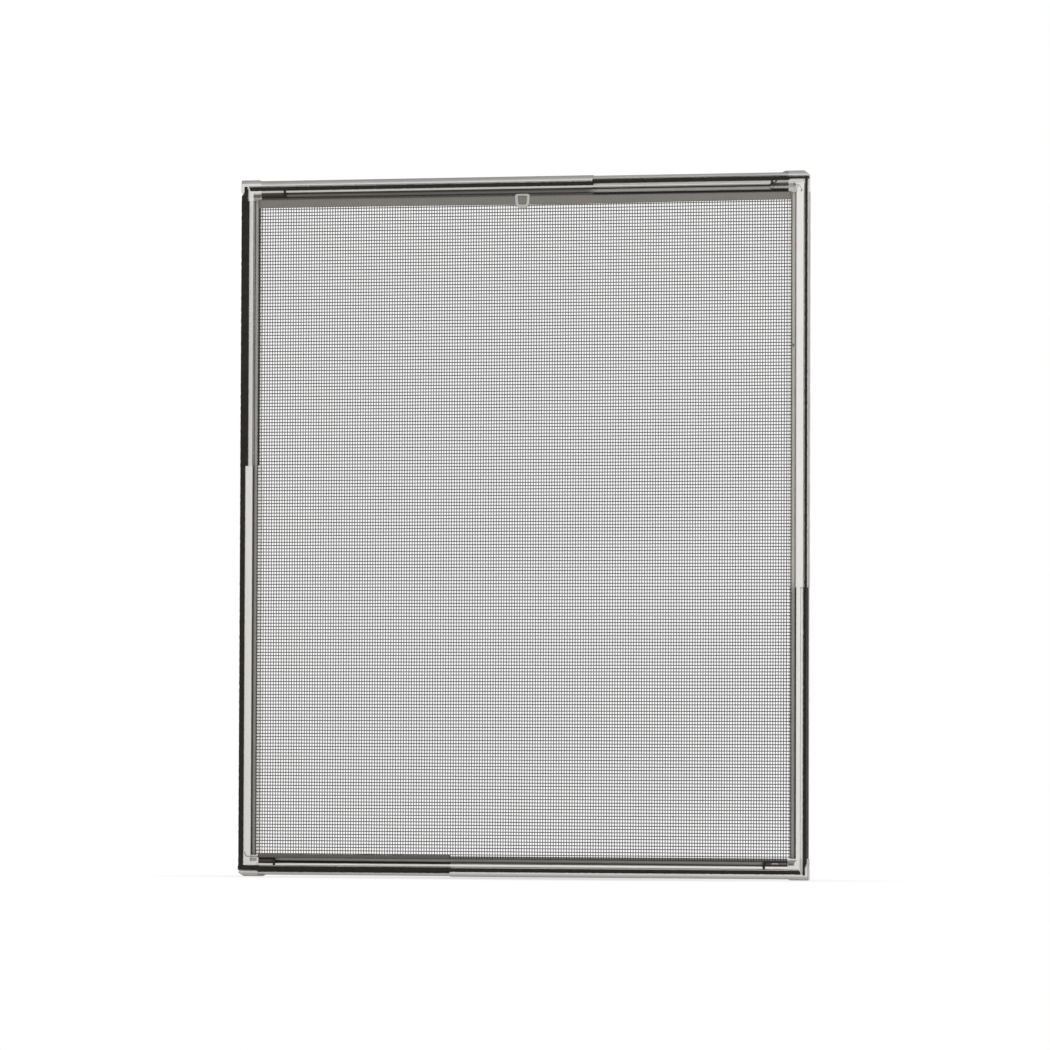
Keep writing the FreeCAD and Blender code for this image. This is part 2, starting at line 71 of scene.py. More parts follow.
SIDES = ("top", "right", "bottom", "left")
RAILS = ("top", "bottom")
CORNERS = ("top_left_corner", "top_right_corner", "bottom_right_corner", "bottom_left_corner")
BARS = tuple(f"{side}_{part}_bar" for side in SIDES for part in ("outer", "inner"))
SEALS = tuple(f"{side}_{part}_seal" for side in SIDES for part in ("outer", "inner"))
CLIPS = tuple(f"{side}_{part}_lock_clip" for side in RAILS for part in ("outer", "inner"))

HALF_FRAME = 291.0 * MM
# Outer edge of each side's outer bar, and the direction from there to the opening.
INWARD = {
    "top": (701.0 * MM, -1), "bottom": (1.0 * MM, 1),
    "left": (-HALF_FRAME, 1), "right": (HALF_FRAME, -1),
}
# End of each outer bar, along its side, and half the length over which a finish changes there.
SEAM = {"top": 72.0 * MM, "bottom": -72.0 * MM, "left": 413.0 * MM, "right": 289.0 * MM}
SEAM_BLEND = 6.0 * MM

FACE_LEVEL = -4.0 * MM
# Depths between which a finish begins: at the back of a bar, and at the bottom of its spline groove.
BACK_EDGE = (5.35 * MM, 5.05 * MM)
GROOVE_BOTTOM = (2.2 * MM, 1.8 * MM)
# Where the folds of the spline groove begin and end across a bar.
RAIL_GROOVE = (12.0 * MM, 22.0 * MM)
STILE_GROOVE = (12.4 * MM, 18.5 * MM)
# Painted shade and light on the sloping lip of a rail: darker towards its outer edge, which faces away from
# the light, and on the top rail lighter beside the seal; place on its width and shade of the paint.
LIP_WIDTH = 7.0 * MM
LIP_SHADES = {
    "top": [(0.0, 0.60), (0.40, 0.60), (0.55, 0.86), (0.70, 1.55), (0.92, 1.55), (1.0, 1.0)],
    "bottom": [(0.0, 0.48), (0.40, 0.60), (0.55, 0.82), (0.70, 1.0)],
}
# Tint of the painted shade in the spline groove.
GROOVE_SHADE_TINT = (1.0, 0.98, 0.92)
# Height of the painted shadow under the rim of the top rail, at the head of the hem.
RIM_SHADOW = (680.2 * MM, 681.6 * MM)


def side_of(node):
    return node.split("_")[0]


def long_axis(side):
    """X on a rail and Z on a stile."""
    return 0 if side in RAILS else 2


def inward(side, distance):
    """Place across a side, counted from the outer edge of its outer bar."""
    edge, sign = INWARD[side]
    return edge + sign * distance


def lengthwise(along, factor):
    """Scale of a pattern that is drawn out along one axis."""
    return tuple(factor if axis == along else 1.0 for axis in range(3))


def clamped(value, low, high):
    """A value kept between two limits."""
    return min(max(value, low), high)


class ScreenSizes(bpy.types.PropertyGroup):
    """Sizes of the pieces that are dressed here."""

    columns: bpy.props.IntProperty(
        name="Mesh columns", description="Upright strands across the opening", default=200, min=8)
    rows: bpy.props.IntProperty(
        name="Mesh rows", description="Level strands up the opening", default=200, min=8)
    yarn: bpy.props.FloatProperty(
        name="Yarn width", description="Width of one coated strand",
        default=0.90 * MM, unit="LENGTH", precision=5)
    crimp: bpy.props.FloatProperty(
        name="Crimp", description="How far a strand bends out of the middle of the weave",
        default=0.12 * MM, unit="LENGTH", precision=5)
    hem_height: bpy.props.FloatProperty(
        name="Hem height", description="Closed band of the mesh under the top rail",
        default=7.4 * MM, unit="LENGTH", precision=5)
    tuft_gap: bpy.props.FloatProperty(
        name="Tuft gap", description="Distance between the tufts of a pile seal",
        default=1.1 * MM, unit="LENGTH", precision=5)
    edge_round: bpy.props.FloatProperty(
        name="Edge rounding", description="Rounding on the edges of the mouldings",
        default=0.35 * MM, unit="LENGTH", precision=5)


class ScreenColours(bpy.types.PropertyGroup):
    """Colours of the finishes."""

    paint: bpy.props.FloatVectorProperty(
        name="Bar paint", description="Satin coating of the bars",
        subtype="COLOR", default=(0.80, 0.785, 0.755))
    corner: bpy.props.FloatVectorProperty(
        name="Corner plastic", description="Moulded corners",
        subtype="COLOR", default=(0.76, 0.745, 0.715))
    pile: bpy.props.FloatVectorProperty(
        name="Seal pile", description="Black pile of the seals",
        subtype="COLOR", default=(0.024, 0.021, 0.018))
    vinyl: bpy.props.FloatVectorProperty(
        name="Spline vinyl", description="Grey cords that hold the mesh",
        subtype="COLOR", default=(0.25, 0.245, 0.22))
    nylon: bpy.props.FloatVectorProperty(
        name="Clip nylon", description="Dark clips beside the corners",
        subtype="COLOR", default=(0.045, 0.038, 0.034))
    yarn: bpy.props.FloatVectorProperty(
        name="Mesh yarn", description="Coating of the strands",
        subtype="COLOR", default=(0.052, 0.052, 0.053))
    hem: bpy.props.FloatVectorProperty(
        name="Hem", description="Closed band of the mesh",
        subtype="COLOR", default=(0.176, 0.167, 0.148))
    tab: bpy.props.FloatVectorProperty(
        name="Pull tab", description="Ring that pulls the screen out",
        subtype="COLOR", default=(0.44, 0.435, 0.41))
    selvedge: bpy.props.FloatVectorProperty(
        name="Selvedge", description="Dense edge of the mesh above the inner bottom bar",
        subtype="COLOR", default=(0.085, 0.082, 0.076))
    floor: bpy.props.FloatVectorProperty(
        name="Floor", description="Plain pale floor",
        subtype="COLOR", default=(0.86, 0.86, 0.86))


class Finish:
    """A material under construction: a shader, its Object coordinates and the nodes between them."""

    def __init__(self, name):
        self.material = bpy.data.materials.new(name)
        self.material.use_nodes = True
        self.nodes = self.material.node_tree.nodes
        self.links = self.material.node_tree.links
        self.shader = self.nodes["Principled BSDF"]
        self.place = self.nodes.new("ShaderNodeTexCoord").outputs["Object"]

    def add(self, kind, **settings):
        node = self.nodes.new(kind)
        for name, value in settings.items():
            setattr(node, name, value)
        return node

    def join(self, source, target):
        self.links.new(source, target)

    def stretched(self, scale):
        """Object coordinates scaled along each axis, so that a pattern can run along a bar."""
        mapping = self.add("ShaderNodeMapping")
        mapping.inputs["Scale"].default_value = scale
        self.join(self.place, mapping.inputs["Vector"])
        return mapping.outputs["Vector"]

    def noise(self, scale, detail=3.0, rough=0.5, place=None):
        texture = self.add("ShaderNodeTexNoise")
        texture.inputs["Scale"].default_value = scale
        texture.inputs["Detail"].default_value = detail
        texture.inputs["Roughness"].default_value = rough
        self.join(place or self.place, texture.inputs["Vector"])
        return texture.outputs["Fac"]

    def ramp(self, factor, stops):
        """A colour ramp with stops of (place, colour)."""
        ramp = self.add("ShaderNodeValToRGB")
        band = ramp.color_ramp
        while len(band.elements) < len(stops):
            band.elements.new(0.5)
        for element, (place, colour) in zip(band.elements, stops):
            element.position = place
            element.color = (*colour, 1.0)
        self.join(factor, ramp.inputs["Fac"])
        return ramp.outputs["Color"]

    def tones(self, factor, colour, spread):
        """A ramp from a darker to a lighter shade of a colour."""
        return self.ramp(factor, [(0.25, shade(colour, 1.0 - spread)), (0.75, shade(colour, 1.0 + spread))])

    def mix(self, factor, first, second, blend="MIX"):
        mixer = self.add("ShaderNodeMix", data_type="RGBA", blend_type=blend)
        factor_in, first_in, second_in = mixer.inputs[0], mixer.inputs[6], mixer.inputs[7]
        for socket, value in ((factor_in, factor), (first_in, first), (second_in, second)):
            if isinstance(value, bpy.types.NodeSocket):
                self.join(value, socket)
            else:
                socket.default_value = value
        return mixer.outputs[2]

    def range(self, value, low, high):
        span = self.add("ShaderNodeMapRange")
        span.inputs["To Min"].default_value = low
        span.inputs["To Max"].default_value = high
        self.join(value, span.inputs["Value"])
        return span.outputs["Result"]

    def span(self, value, start, end):
        """0 before a start and 1 past an end."""
        span = self.add("ShaderNodeMapRange")
        span.inputs["From Min"].default_value = start
        span.inputs["From Max"].default_value = end
        self.join(value, span.inputs["Value"])
        return span.outputs["Result"]

    def axis(self, name):
        """One of the Object coordinates as a value, by its letter or its number."""
        split = self.add("ShaderNodeSeparateXYZ")
        self.join(self.place, split.inputs[0])
        return split.outputs[name]

    def times(self, *factors):
        product = factors[0]
        for factor in factors[1:]:
            node = self.add("ShaderNodeMath", operation="MULTIPLY")
            self.join(product, node.inputs[0])
            self.join(factor, node.inputs[1])
            product = node.outputs[0]
        return product

    def ragged(self, scale, amount):
        """Object coordinates pushed about by noise, for marks with uneven edges."""
        texture = self.add("ShaderNodeTexNoise")
        texture.inputs["Scale"].default_value = scale
        self.join(self.place, texture.inputs["Vector"])
        centred = self.add("ShaderNodeVectorMath", operation="SUBTRACT")
        centred.inputs[1].default_value = (0.5, 0.5, 0.5)
        self.join(texture.outputs["Color"], centred.inputs[0])
        pushed = self.add("ShaderNodeVectorMath", operation="MULTIPLY_ADD")
        pushed.inputs[1].default_value = (amount, amount, amount)
        self.join(centred.outputs[0], pushed.inputs[0])
        self.join(self.place, pushed.inputs[2])
        return pushed.outputs[0]

    def stroke(self, place, start, end, width, soft):
        """1 on a straight stroke between two points of the front view, in millimetres, and 0 off it."""
        start, end = (Vector((x * MM, 0.0, z * MM)) for x, z in (start, end))
        run = end - start
        offset = self.add("ShaderNodeVectorMath", operation="SUBTRACT")
        offset.inputs[1].default_value = start
        self.join(place, offset.inputs[0])
        reach = []
        for direction in (run.normalized(), run.normalized().cross(Vector((0.0, 1.0, 0.0)))):
            dot = self.add("ShaderNodeVectorMath", operation="DOT_PRODUCT")
            dot.inputs[1].default_value = direction
            self.join(offset.outputs[0], dot.inputs[0])
            reach.append(dot.outputs["Value"])
        aside = self.add("ShaderNodeMath", operation="ABSOLUTE")
        self.join(reach[1], aside.inputs[0])
        soft, half = soft * MM / 2, width * MM / 2
        return self.times(
            self.span(reach[0], -soft, soft),
            self.span(reach[0], run.length + soft, run.length - soft),
            self.span(aside.outputs[0], half + soft, half - soft))

    def colour(self, socket):
        self.join(socket, self.shader.inputs["Base Color"])

    def coloured(self):
        """The socket that colours the shader so far."""
        return self.shader.inputs["Base Color"].links[0].from_socket

    def roughness(self, socket):
        self.join(socket, self.shader.inputs["Roughness"])

    def bump(self, height, strength, distance):
        node = self.add("ShaderNodeBump")
        node.inputs["Strength"].default_value = strength
        node.inputs["Distance"].default_value = distance
        self.join(height, node.inputs["Height"])
        self.join(node.outputs["Normal"], self.shader.inputs["Normal"])


def shade(colour, factor):
    return tuple(min(1.0, channel * factor) for channel in colour)


def paint_finish(name, colour, side, groove_shade, dark_side, marks):
    """Satin coating with faint rolling streaks, painted shade in the spline groove, painted light and shade
    on a rail's lip, a darker outer side, and marks: painted light, painted shadow, seams and smudges.
    """
    finish = Finish(name)
    edge, sign = INWARD[side]
    streaks = finish.noise(420.0, detail=2.0, place=finish.stretched(lengthwise(long_axis(side), 0.02)))
    clouds = finish.noise(14.0)
    tone = finish.mix(0.35, finish.tones(clouds, colour, 0.035), finish.tones(streaks, colour, 0.05))
    # Painted shade and light across the lip of a rail.
    if side in RAILS:
        slope = finish.span(finish.axis("Z"), edge, edge + sign * LIP_WIDTH)
        stops = [(place, (level, level, level)) for place, level in LIP_SHADES[side]]
        tone = finish.mix(1.0, tone, finish.ramp(slope, stops), "MULTIPLY")
    folds = groove_mask(finish, side)
    # Painted shade in the folds of the spline groove.
    tone = finish.mix(folds, tone, finish.tones(finish.noise(500.0), shade(GROOVE_SHADE_TINT, groove_shade), 0.2))
    shine = finish.range(folds, 0.5, 0.06)
    # Painted shade on the outer side of the right outer bar, and a dark strip on the right inner bar.
    if dark_side:
        level, reach = dark_side
        outside = finish.times(
            finish.span(finish.axis("X"), edge + sign * reach, edge + sign * (reach - 0.4 * MM)),
            finish.span(finish.axis("Y"), *BACK_EDGE))
        tone = finish.mix(outside, tone, finish.tones(clouds, shade(colour, level), 0.15))
        shine = finish.times(shine, finish.range(outside, 1.0, 0.1))
    finish.join(shine, finish.shader.inputs["Specular IOR Level"])
    # A dark mark, painted shadow among them, stays on the front; a light one, which is painted light, may lie
    # on the rim behind it.
    fore = finish.span(finish.axis("Y"), 1.0 * MM, 0.6 * MM)
    for start, end, width, level in marks:
        mark = finish.stroke(finish.place, start, end, width, soft=0.4)
        if level < 1.0:
            mark = finish.times(mark, fore)
        tone = finish.mix(mark, tone, finish.tones(clouds, shade(colour, level), 0.06))
    finish.colour(tone)
    finish.roughness(finish.range(finish.noise(90.0, detail=4.0), 0.34, 0.50))
    finish.bump(finish.noise(1500.0, detail=2.0), strength=0.06, distance=0.05 * MM)
    return finish.material


def groove_mask(finish, side):
    """1 in the folds between a bar's front face and the opening, 0 on the rest of the bar."""
    sign = INWARD[side][1]
    start, end = (inward(side, reach) for reach in (RAIL_GROOVE if side in RAILS else STILE_GROOVE))
    across = finish.axis(2 - long_axis(side))
    depth = finish.axis("Y")
    return finish.times(
        finish.span(across, start, start + sign * 0.5 * MM),
        finish.span(across, end, end - sign * 0.3 * MM),
        finish.span(depth, FACE_LEVEL + 0.6 * MM, FACE_LEVEL + 1.0 * MM),
        finish.span(depth, *GROOVE_BOTTOM))


def moulded(name, colour, spread, rough, grain):
    """Moulded plastic: soft clouds of tone over a fine spark-eroded texture."""
    finish = Finish(name)
    clouds = finish.noise(60.0, detail=4.0, rough=0.6)
    specks = finish.noise(grain, detail=2.0)
    finish.colour(finish.mix(0.4, finish.tones(clouds, colour, spread), finish.tones(specks, colour, spread)))
    finish.roughness(finish.range(clouds, rough - 0.07, rough + 0.07))
    finish.bump(specks, strength=0.15, distance=0.04 * MM)
    return finish


def corner_finish(name, colour, caps, marks):
    """Moulded plastic with painted shade on its caps and outer edges, and marks: seams, smudges and painted
    shade in a recess; strokes of (start, end, width, shade).
    """
    finish = moulded(name, colour, spread=0.05, rough=0.5, grain=1800.0)
    tone = finish.coloured()
    ragged = finish.ragged(420.0, 1.6 * MM)
    fore = finish.span(finish.axis("Y"), -0.8 * MM, -1.4 * MM)
    grime_and_shade = finish.noise(700.0, detail=3.0, rough=0.6)
    # Painted shade on the rounded caps and outer edges.
    for start, end, width, level in caps:
        lip = finish.stroke(finish.place, start, end, width, soft=0.8)
        tone = finish.mix(lip, tone, finish.tones(grime_and_shade, shade(colour, level), 0.06))
    # Marks on the front: seams, smudges and painted shade in a recess.
    for start, end, width, level in marks:
        mark = finish.times(finish.stroke(ragged, start, end, width, soft=max(0.6, 0.4 * width)), fore)
        tone = finish.mix(mark, tone, finish.tones(grime_and_shade, shade(colour, level), 0.25))
    finish.colour(tone)
    return finish.material


def clip_finish(name, colour, streaks):
    """Dark nylon with a black finger, painted shade along its edges, a painted highlight and a grey band:
    strokes of (start, end, width, colour).
    """
    finish = moulded(name, colour, spread=0.3, rough=0.45, grain=1400.0)
    tone = finish.coloured()
    mottle = finish.noise(600.0, detail=3.0, rough=0.6)
    ragged = finish.ragged(500.0, 0.6 * MM)
    finger = finish.span(finish.axis("Y"), FACE_LEVEL + 0.45 * MM, FACE_LEVEL + 0.15 * MM)
    tone = finish.mix(finger, tone, finish.tones(mottle, shade(colour, 0.2), 0.3))
    # Painted shade along the edges, a painted highlight and a grey band.
    for start, end, width, streak in streaks:
        streak_mask = finish.stroke(ragged, start, end, width, soft=0.5)
        tone = finish.mix(streak_mask, tone, finish.tones(mottle, streak, 0.3))
    finish.colour(tone)
    finish.shader.inputs["Specular IOR Level"].default_value = 0.15
    return finish.material


def pile_finish(name, colour):
    """Dense black pile: fibres that catch a little light at their tips."""
    finish = Finish(name)
    fibres = finish.noise(2600.0, detail=2.0, rough=0.7)
    clumps = finish.noise(240.0)
    finish.colour(finish.mix(0.5, finish.tones(fibres, colour, 0.7), finish.tones(clumps, colour, 0.5)))
    finish.shader.inputs["Roughness"].default_value = 0.95
    finish.shader.inputs["Specular IOR Level"].default_value = 0.2
    finish.shader.inputs["Sheen Weight"].default_value = 0.08
    finish.bump(fibres, strength=0.6, distance=0.3 * MM)
    return finish.material


def vinyl_finish(name, colour, side, shades, specks):
    """Soft vinyl cord with painted light and shade, in one shade up to a bar's end and another past it, with
    specks of dirt.
    """
    finish = Finish(name)
    along, seam = long_axis(side), SEAM[side]
    drawn = finish.noise(900.0, place=finish.stretched(lengthwise(along, 0.08)))
    scuffs = finish.noise(70.0, detail=4.0, rough=0.65)
    # Painted light and shade: a lighter or darker copy of the vinyl on each side of a bar's end.
    near, far = (
        finish.mix(0.5, finish.tones(drawn, vinyl, 0.16), finish.tones(scuffs, vinyl, 0.14))
        for vinyl in (shade(colour, factor) for factor in shades))
    tone = finish.mix(finish.span(finish.axis(along), seam - SEAM_BLEND, seam + SEAM_BLEND), near, far)
    for start, end, width in specks:
        dirt = finish.stroke(finish.place, start, end, width, soft=0.9)
        tone = finish.mix(dirt, tone, finish.tones(scuffs, shade(colour, 0.2), 0.3))
    finish.colour(tone)
    finish.roughness(finish.range(scuffs, 0.5, 0.72))
    finish.bump(drawn, strength=0.25, distance=0.08 * MM)
    return finish.material


def yarn_finish(name, colour):
    """Coated glass yarn, a little uneven from strand to strand."""
    finish = Finish(name)
    lengths = finish.noise(45.0, detail=3.0, rough=0.6)
    coat = finish.noise(1100.0, detail=2.0)
    finish.colour(finish.mix(0.5, finish.tones(lengths, colour, 0.14), finish.tones(coat, colour, 0.2)))
    finish.roughness(finish.range(coat, 0.42, 0.6))
    finish.bump(coat, strength=0.2, distance=0.05 * MM)
    return finish.material


def hem_finish(name, colour):
    """Folded and pressed mesh: ridges of the strands, specks between them and a painted shadow at its head,
    under the rim of the rail.
    """
    finish = Finish(name)
    specks = finish.noise(520.0, detail=3.0, rough=0.7)
    clouds = finish.noise(40.0)
    wave = finish.add("ShaderNodeTexWave", wave_type="BANDS", bands_direction="X")
    wave.inputs["Scale"].default_value = 115.0
    wave.inputs["Distortion"].default_value = 1.2
    wave.inputs["Detail"].default_value = 2.0
    finish.join(finish.place, wave.inputs["Vector"])
    ridges = wave.outputs["Fac"]
    tone = finish.mix(0.5, finish.tones(specks, colour, 0.35), finish.tones(ridges, colour, 0.14))
    tone = finish.mix(0.3, tone, finish.tones(clouds, colour, 0.12))
    # Painted shadow under the rim of the inner top bar.
    rim_shadow = finish.times(
        finish.span(finish.axis("Z"), *RIM_SHADOW),
        finish.span(finish.axis("X"), SEAM["top"] - SEAM_BLEND, SEAM["top"] + SEAM_BLEND))
    finish.colour(finish.mix(rim_shadow, tone, finish.tones(clouds, shade(colour, 0.15), 0.2)))
    finish.roughness(finish.range(specks, 0.55, 0.8))
    finish.bump(ridges, strength=0.3, distance=0.15 * MM)
    return finish.material


def mesh_object(name, bm, material):
    """Closes a bmesh into a smooth, linked object at the origin."""
    data = bpy.data.meshes.new(name)
    bm.to_mesh(data)
    bm.free()
    data.materials.append(material)
    data.polygons.foreach_set("use_smooth", [True] * len(data.polygons))
    piece = bpy.data.objects.new(name, data)
    bpy.context.scene.collection.objects.link(piece)
    return piece


def append(bm, part):
    """Moves a small bmesh into a larger one."""
    data = bpy.data.meshes.new("part")
    part.to_mesh(data)
    part.free()
    bm.from_mesh(data)
    bpy.data.meshes.remove(data)


def long_edges(bm, axis, length):
    """The edges that run the whole length of a shape along an axis."""
    return [edge for edge in bm.edges
            if abs(edge.verts[0].co[axis] - edge.verts[1].co[axis]) > 0.5 * length]


def settle(piece, slot, *nodes):
    """The piece stands for its nodes, which it hides, and rides on the frame; the slot is not used."""
    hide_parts(*nodes)
    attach(piece, BODY)
    return piece


def dress(node, material):
    """Gives a kept CAD node its finish."""
    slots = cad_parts[node].data.materials
    slots.clear()
    slots.append(material)


def round_edges(piece, width, segments, angle):
    """Rounds every edge that turns by more than an angle, in degrees."""
    rounding = piece.modifiers.new("rounded edges", "BEVEL")
    rounding.width = width
    rounding.segments = segments
    rounding.limit_method = "ANGLE"
    rounding.angle_limit = math.radians(angle)


def moulding(node):
    """A merged copy of a CAD moulding, with its flat faces made whole."""
    bm = bmesh.new()
    bm.from_mesh(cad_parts[node].data)
    bmesh.ops.remove_doubles(bm, verts=bm.verts, dist=0.002 * MM)
    bmesh.ops.dissolve_limit(bm, angle_limit=math.radians(0.5), verts=bm.verts, edges=bm.edges)
    return bm


def softened(node, bm, material, width):
    """A moulding with its sharp edges rounded."""
    piece = mesh_object(node + "_moulding", bm, material)
    round_edges(piece, width, segments=2, angle=35.0)
    flats = piece.modifiers.new("flat faces", "WEIGHTED_NORMAL")
    flats.keep_sharp = False
    return piece


class SCREEN_OT_bars(bpy.types.Operator):
    """Paints the rolled bars."""

    bl_idname = "screen.bars"
    bl_label = "Bars"

    # Painted light and shade on each bar: its paint made lighter or darker by how the bar sits in the light,
    # and the level of the painted shade in its groove.
    TONES = {
        "top_outer_bar": 0.72, "top_inner_bar": 0.85, "bottom_outer_bar": 1.12, "bottom_inner_bar": 1.12,
        "left_outer_bar": 0.95, "left_inner_bar": 0.84, "right_outer_bar": 1.0, "right_inner_bar": 1.0,
    }
    GROOVE_SHADES = {
        "top_outer_bar": 0.10, "top_inner_bar": 0.03, "bottom_outer_bar": 0.18, "bottom_inner_bar": 0.012,
        "left_outer_bar": 0.20, "left_inner_bar": 0.012, "right_outer_bar": 0.60, "right_inner_bar": 0.08,
    }
    # Darker paint on a bar's outer side, and how far it reaches onto the front: painted shade on the right
    # outer bar, and a dark strip over the side and rebate of the right inner bar.
    DARK_SIDES = {"right_outer_bar": (0.58, 1.2 * MM), "right_inner_bar": (0.08, 3.4 * MM)}
    # Strokes in the front view, in millimetres: start, end, width and shade of the paint. Shades above 1 are
    # painted light on walls beside the opening and on a rebate wall, the darkest strokes along the rims are
    # painted shadow, and the rest are a seam, a smudge, a dark line and a black V at a clip's finger.
    MARKS = {
        "left_outer_bar": [
            # Painted light on the inner wall beside the opening.
            ((-270.4, 20.0), (-270.4, 414.0), 0.8, 1.2),
            ((-284.4, 24.8), (-282.9, 20.8), 0.9, 0.22),
        ],
        "left_inner_bar": [
            # Painted shadow on the rim beside the spline.
            ((-271.65, 414.0), (-271.65, 684.0), 1.3, 0.04),
            # Painted light on the inner wall beside the opening.
            ((-270.8, 414.0), (-270.8, 684.0), 0.6, 1.4),
        ],
        # Painted light on the rebate wall, against its shade.
        "right_inner_bar": [((283.4, 18.0), (283.4, 290.0), 1.6, 1.2)],
        "top_inner_bar": [
            ((252.6, 693.0), (254.4, 689.0), 2.2, 0.03),
            ((257.6, 693.2), (255.8, 689.0), 2.0, 0.04),
            ((253.8, 689.8), (256.4, 689.8), 2.8, 0.03),
            ((257.0, 689.6), (270.3, 689.6), 1.2, 0.06),
            ((259.5, 691.2), (270.0, 691.0), 1.4, 0.75),
            # Painted shadow along the rim above the hem.
            ((72.0, 681.7), (270.0, 681.7), 1.6, 0.03),
        ],
    }

    def execute(self, context):
        colour = tuple(context.scene.screen_colours.paint)
        for bar in BARS:
            dress(bar, paint_finish(
                bar + "_paint", shade(colour, self.TONES[bar]), side_of(bar), self.GROOVE_SHADES[bar],
                self.DARK_SIDES.get(bar), self.MARKS.get(bar, [])))
        return {"FINISHED"}


class SCREEN_OT_corners(bpy.types.Operator):
    """Rounds and colours the moulded corners."""

    bl_idname = "screen.corners"
    bl_label = "Corners"

    # Strokes in the front view, in millimetres: start, end, width and shade of the plastic. The caps and
    # edges are painted shade on the rounded outer sides, where the corners turn from the light.
    CAPS = {
        "top": ((-292.0, 700.3), (292.0, 700.3), 4.2, 0.50),
        "bottom": ((-292.0, 1.7), (292.0, 1.7), 4.4, 0.55),
    }
    EDGES = {
        "bottom_right_corner": [((291.0, 1.0), (291.0, 21.0), 1.0, 0.26)],
        "top_left_corner": [((-291.0, 690.0), (-291.0, 701.5), 0.9, 0.30)],
    }
    MARKS = {
        "top_left_corner": [
            # Painted shade in the recess where two grooves meet.
            ((-278.4, 685.6), (-270.2, 685.6), 4.2, 0.10),
            ((-278.2, 681.0), (-270.2, 681.0), 4.6, 0.30),
        ],
        "top_right_corner": [
            ((270.0, 692.2), (283.0, 692.2), 5.6, 0.78),
            ((274.2, 680.0), (274.2, 685.2), 7.8, 0.58),
            ((278.6, 680.0), (278.6, 685.2), 0.8, 0.42),
            ((270.2, 687.2), (277.4, 687.2), 4.8, 0.40),
            ((278.2, 686.6), (281.0, 686.4), 3.0, 0.66),
            ((274.8, 688.2), (277.4, 688.2), 2.2, 0.18),
            ((277.8, 687.6), (281.6, 687.0), 0.7, 0.45),
            ((281.6, 687.0), (283.6, 683.4), 0.7, 0.45),
            ((283.5, 683.4), (283.5, 681.0), 1.4, 0.18),
        ],
        "bottom_right_corner": [
            ((270.2, 18.4), (277.4, 18.4), 2.8, 0.26),
            ((270.6, 15.8), (276.8, 15.8), 2.6, 0.09),
            ((275.0, 18.6), (279.8, 19.4), 0.9, 0.25),
        ],
        "bottom_left_corner": [
            ((-284.4, 23.9), (-282.9, 20.2), 0.9, 0.22),
            ((-283.0, 20.1), (-270.2, 19.8), 0.9, 0.16),
            ((-278.8, 17.0), (-272.0, 17.0), 3.6, 0.42),
            ((-271.2, 13.6), (-271.2, 11.0), 0.8, 0.40),
        ],
    }

    def execute(self, context):
        colour = tuple(context.scene.screen_colours.corner)
        width = context.scene.screen_sizes.edge_round
        for corner in CORNERS:
            caps = [self.CAPS[side_of(corner)], *self.EDGES.get(corner, [])]
            plastic = corner_finish(corner + "_plastic", colour, caps, self.MARKS[corner])
            settle(softened(corner, moulding(corner), plastic, width), "corner_plastic", corner)
        return {"FINISHED"}


class SCREEN_OT_clips(bpy.types.Operator):
    """Rounds and colours the dark lock clips."""

    bl_idname = "screen.clips"
    bl_label = "Lock clips"

    EDGE_ROUND = 0.2 * MM
    # A clip's end with the finger lies nearer the middle of the rail than this, and is drawn out.
    FINGER_FROM = 262.0 * MM
    STRETCH = {"top_outer_lock_clip": 2.8 * MM, "bottom_outer_lock_clip": -1.5 * MM}
    # Strokes in the front view, in millimetres: start, end, width and colour. The black lines along a clip's
    # edges are painted shade, and the pinkish streak on the outer bottom clip is a painted highlight that
    # fades to the right.
    BLACK = (0.010, 0.009, 0.008)
    STREAKS = {
        "top_outer_lock_clip": [
            ((-271.0, 689.6), (-247.0, 689.6), 1.4, BLACK),
            ((-271.0, 685.2), (-247.0, 685.2), 1.8, BLACK),
        ],
        "top_inner_lock_clip": [
            ((252.0, 688.6), (271.0, 688.6), 2.8, BLACK),
            ((252.0, 685.7), (271.0, 685.7), 2.4, (0.33, 0.33, 0.30)),
        ],
        "bottom_outer_lock_clip": [
            ((247.0, 17.6), (271.0, 17.6), 1.4, BLACK),
            # Painted highlight, fading to the right over the next stroke.
            ((254.5, 16.2), (261.0, 16.2), 1.0, (0.50, 0.42, 0.40)),
            ((261.0, 16.2), (269.5, 16.3), 0.9, (0.22, 0.165, 0.155)),
            ((247.0, 14.2), (271.0, 14.2), 1.2, BLACK),
        ],
        "bottom_inner_lock_clip": [
            ((-271.0, 17.7), (-252.0, 17.7), 1.0, BLACK),
            ((-271.0, 14.1), (-252.0, 14.1), 1.4, BLACK),
        ],
    }

    def execute(self, context):
        colour = tuple(context.scene.screen_colours.nylon)
        for clip in CLIPS:
            nylon = clip_finish(clip + "_nylon", colour, self.STREAKS[clip])
            bm = moulding(clip)
            finger = [vert for vert in bm.verts if abs(vert.co.x) < self.FINGER_FROM]
            bmesh.ops.translate(bm, verts=finger, vec=Vector((self.STRETCH.get(clip, 0.0), 0.0, 0.0)))
            settle(softened(clip, bm, nylon, self.EDGE_ROUND), "clip_nylon", clip)
        return {"FINISHED"}


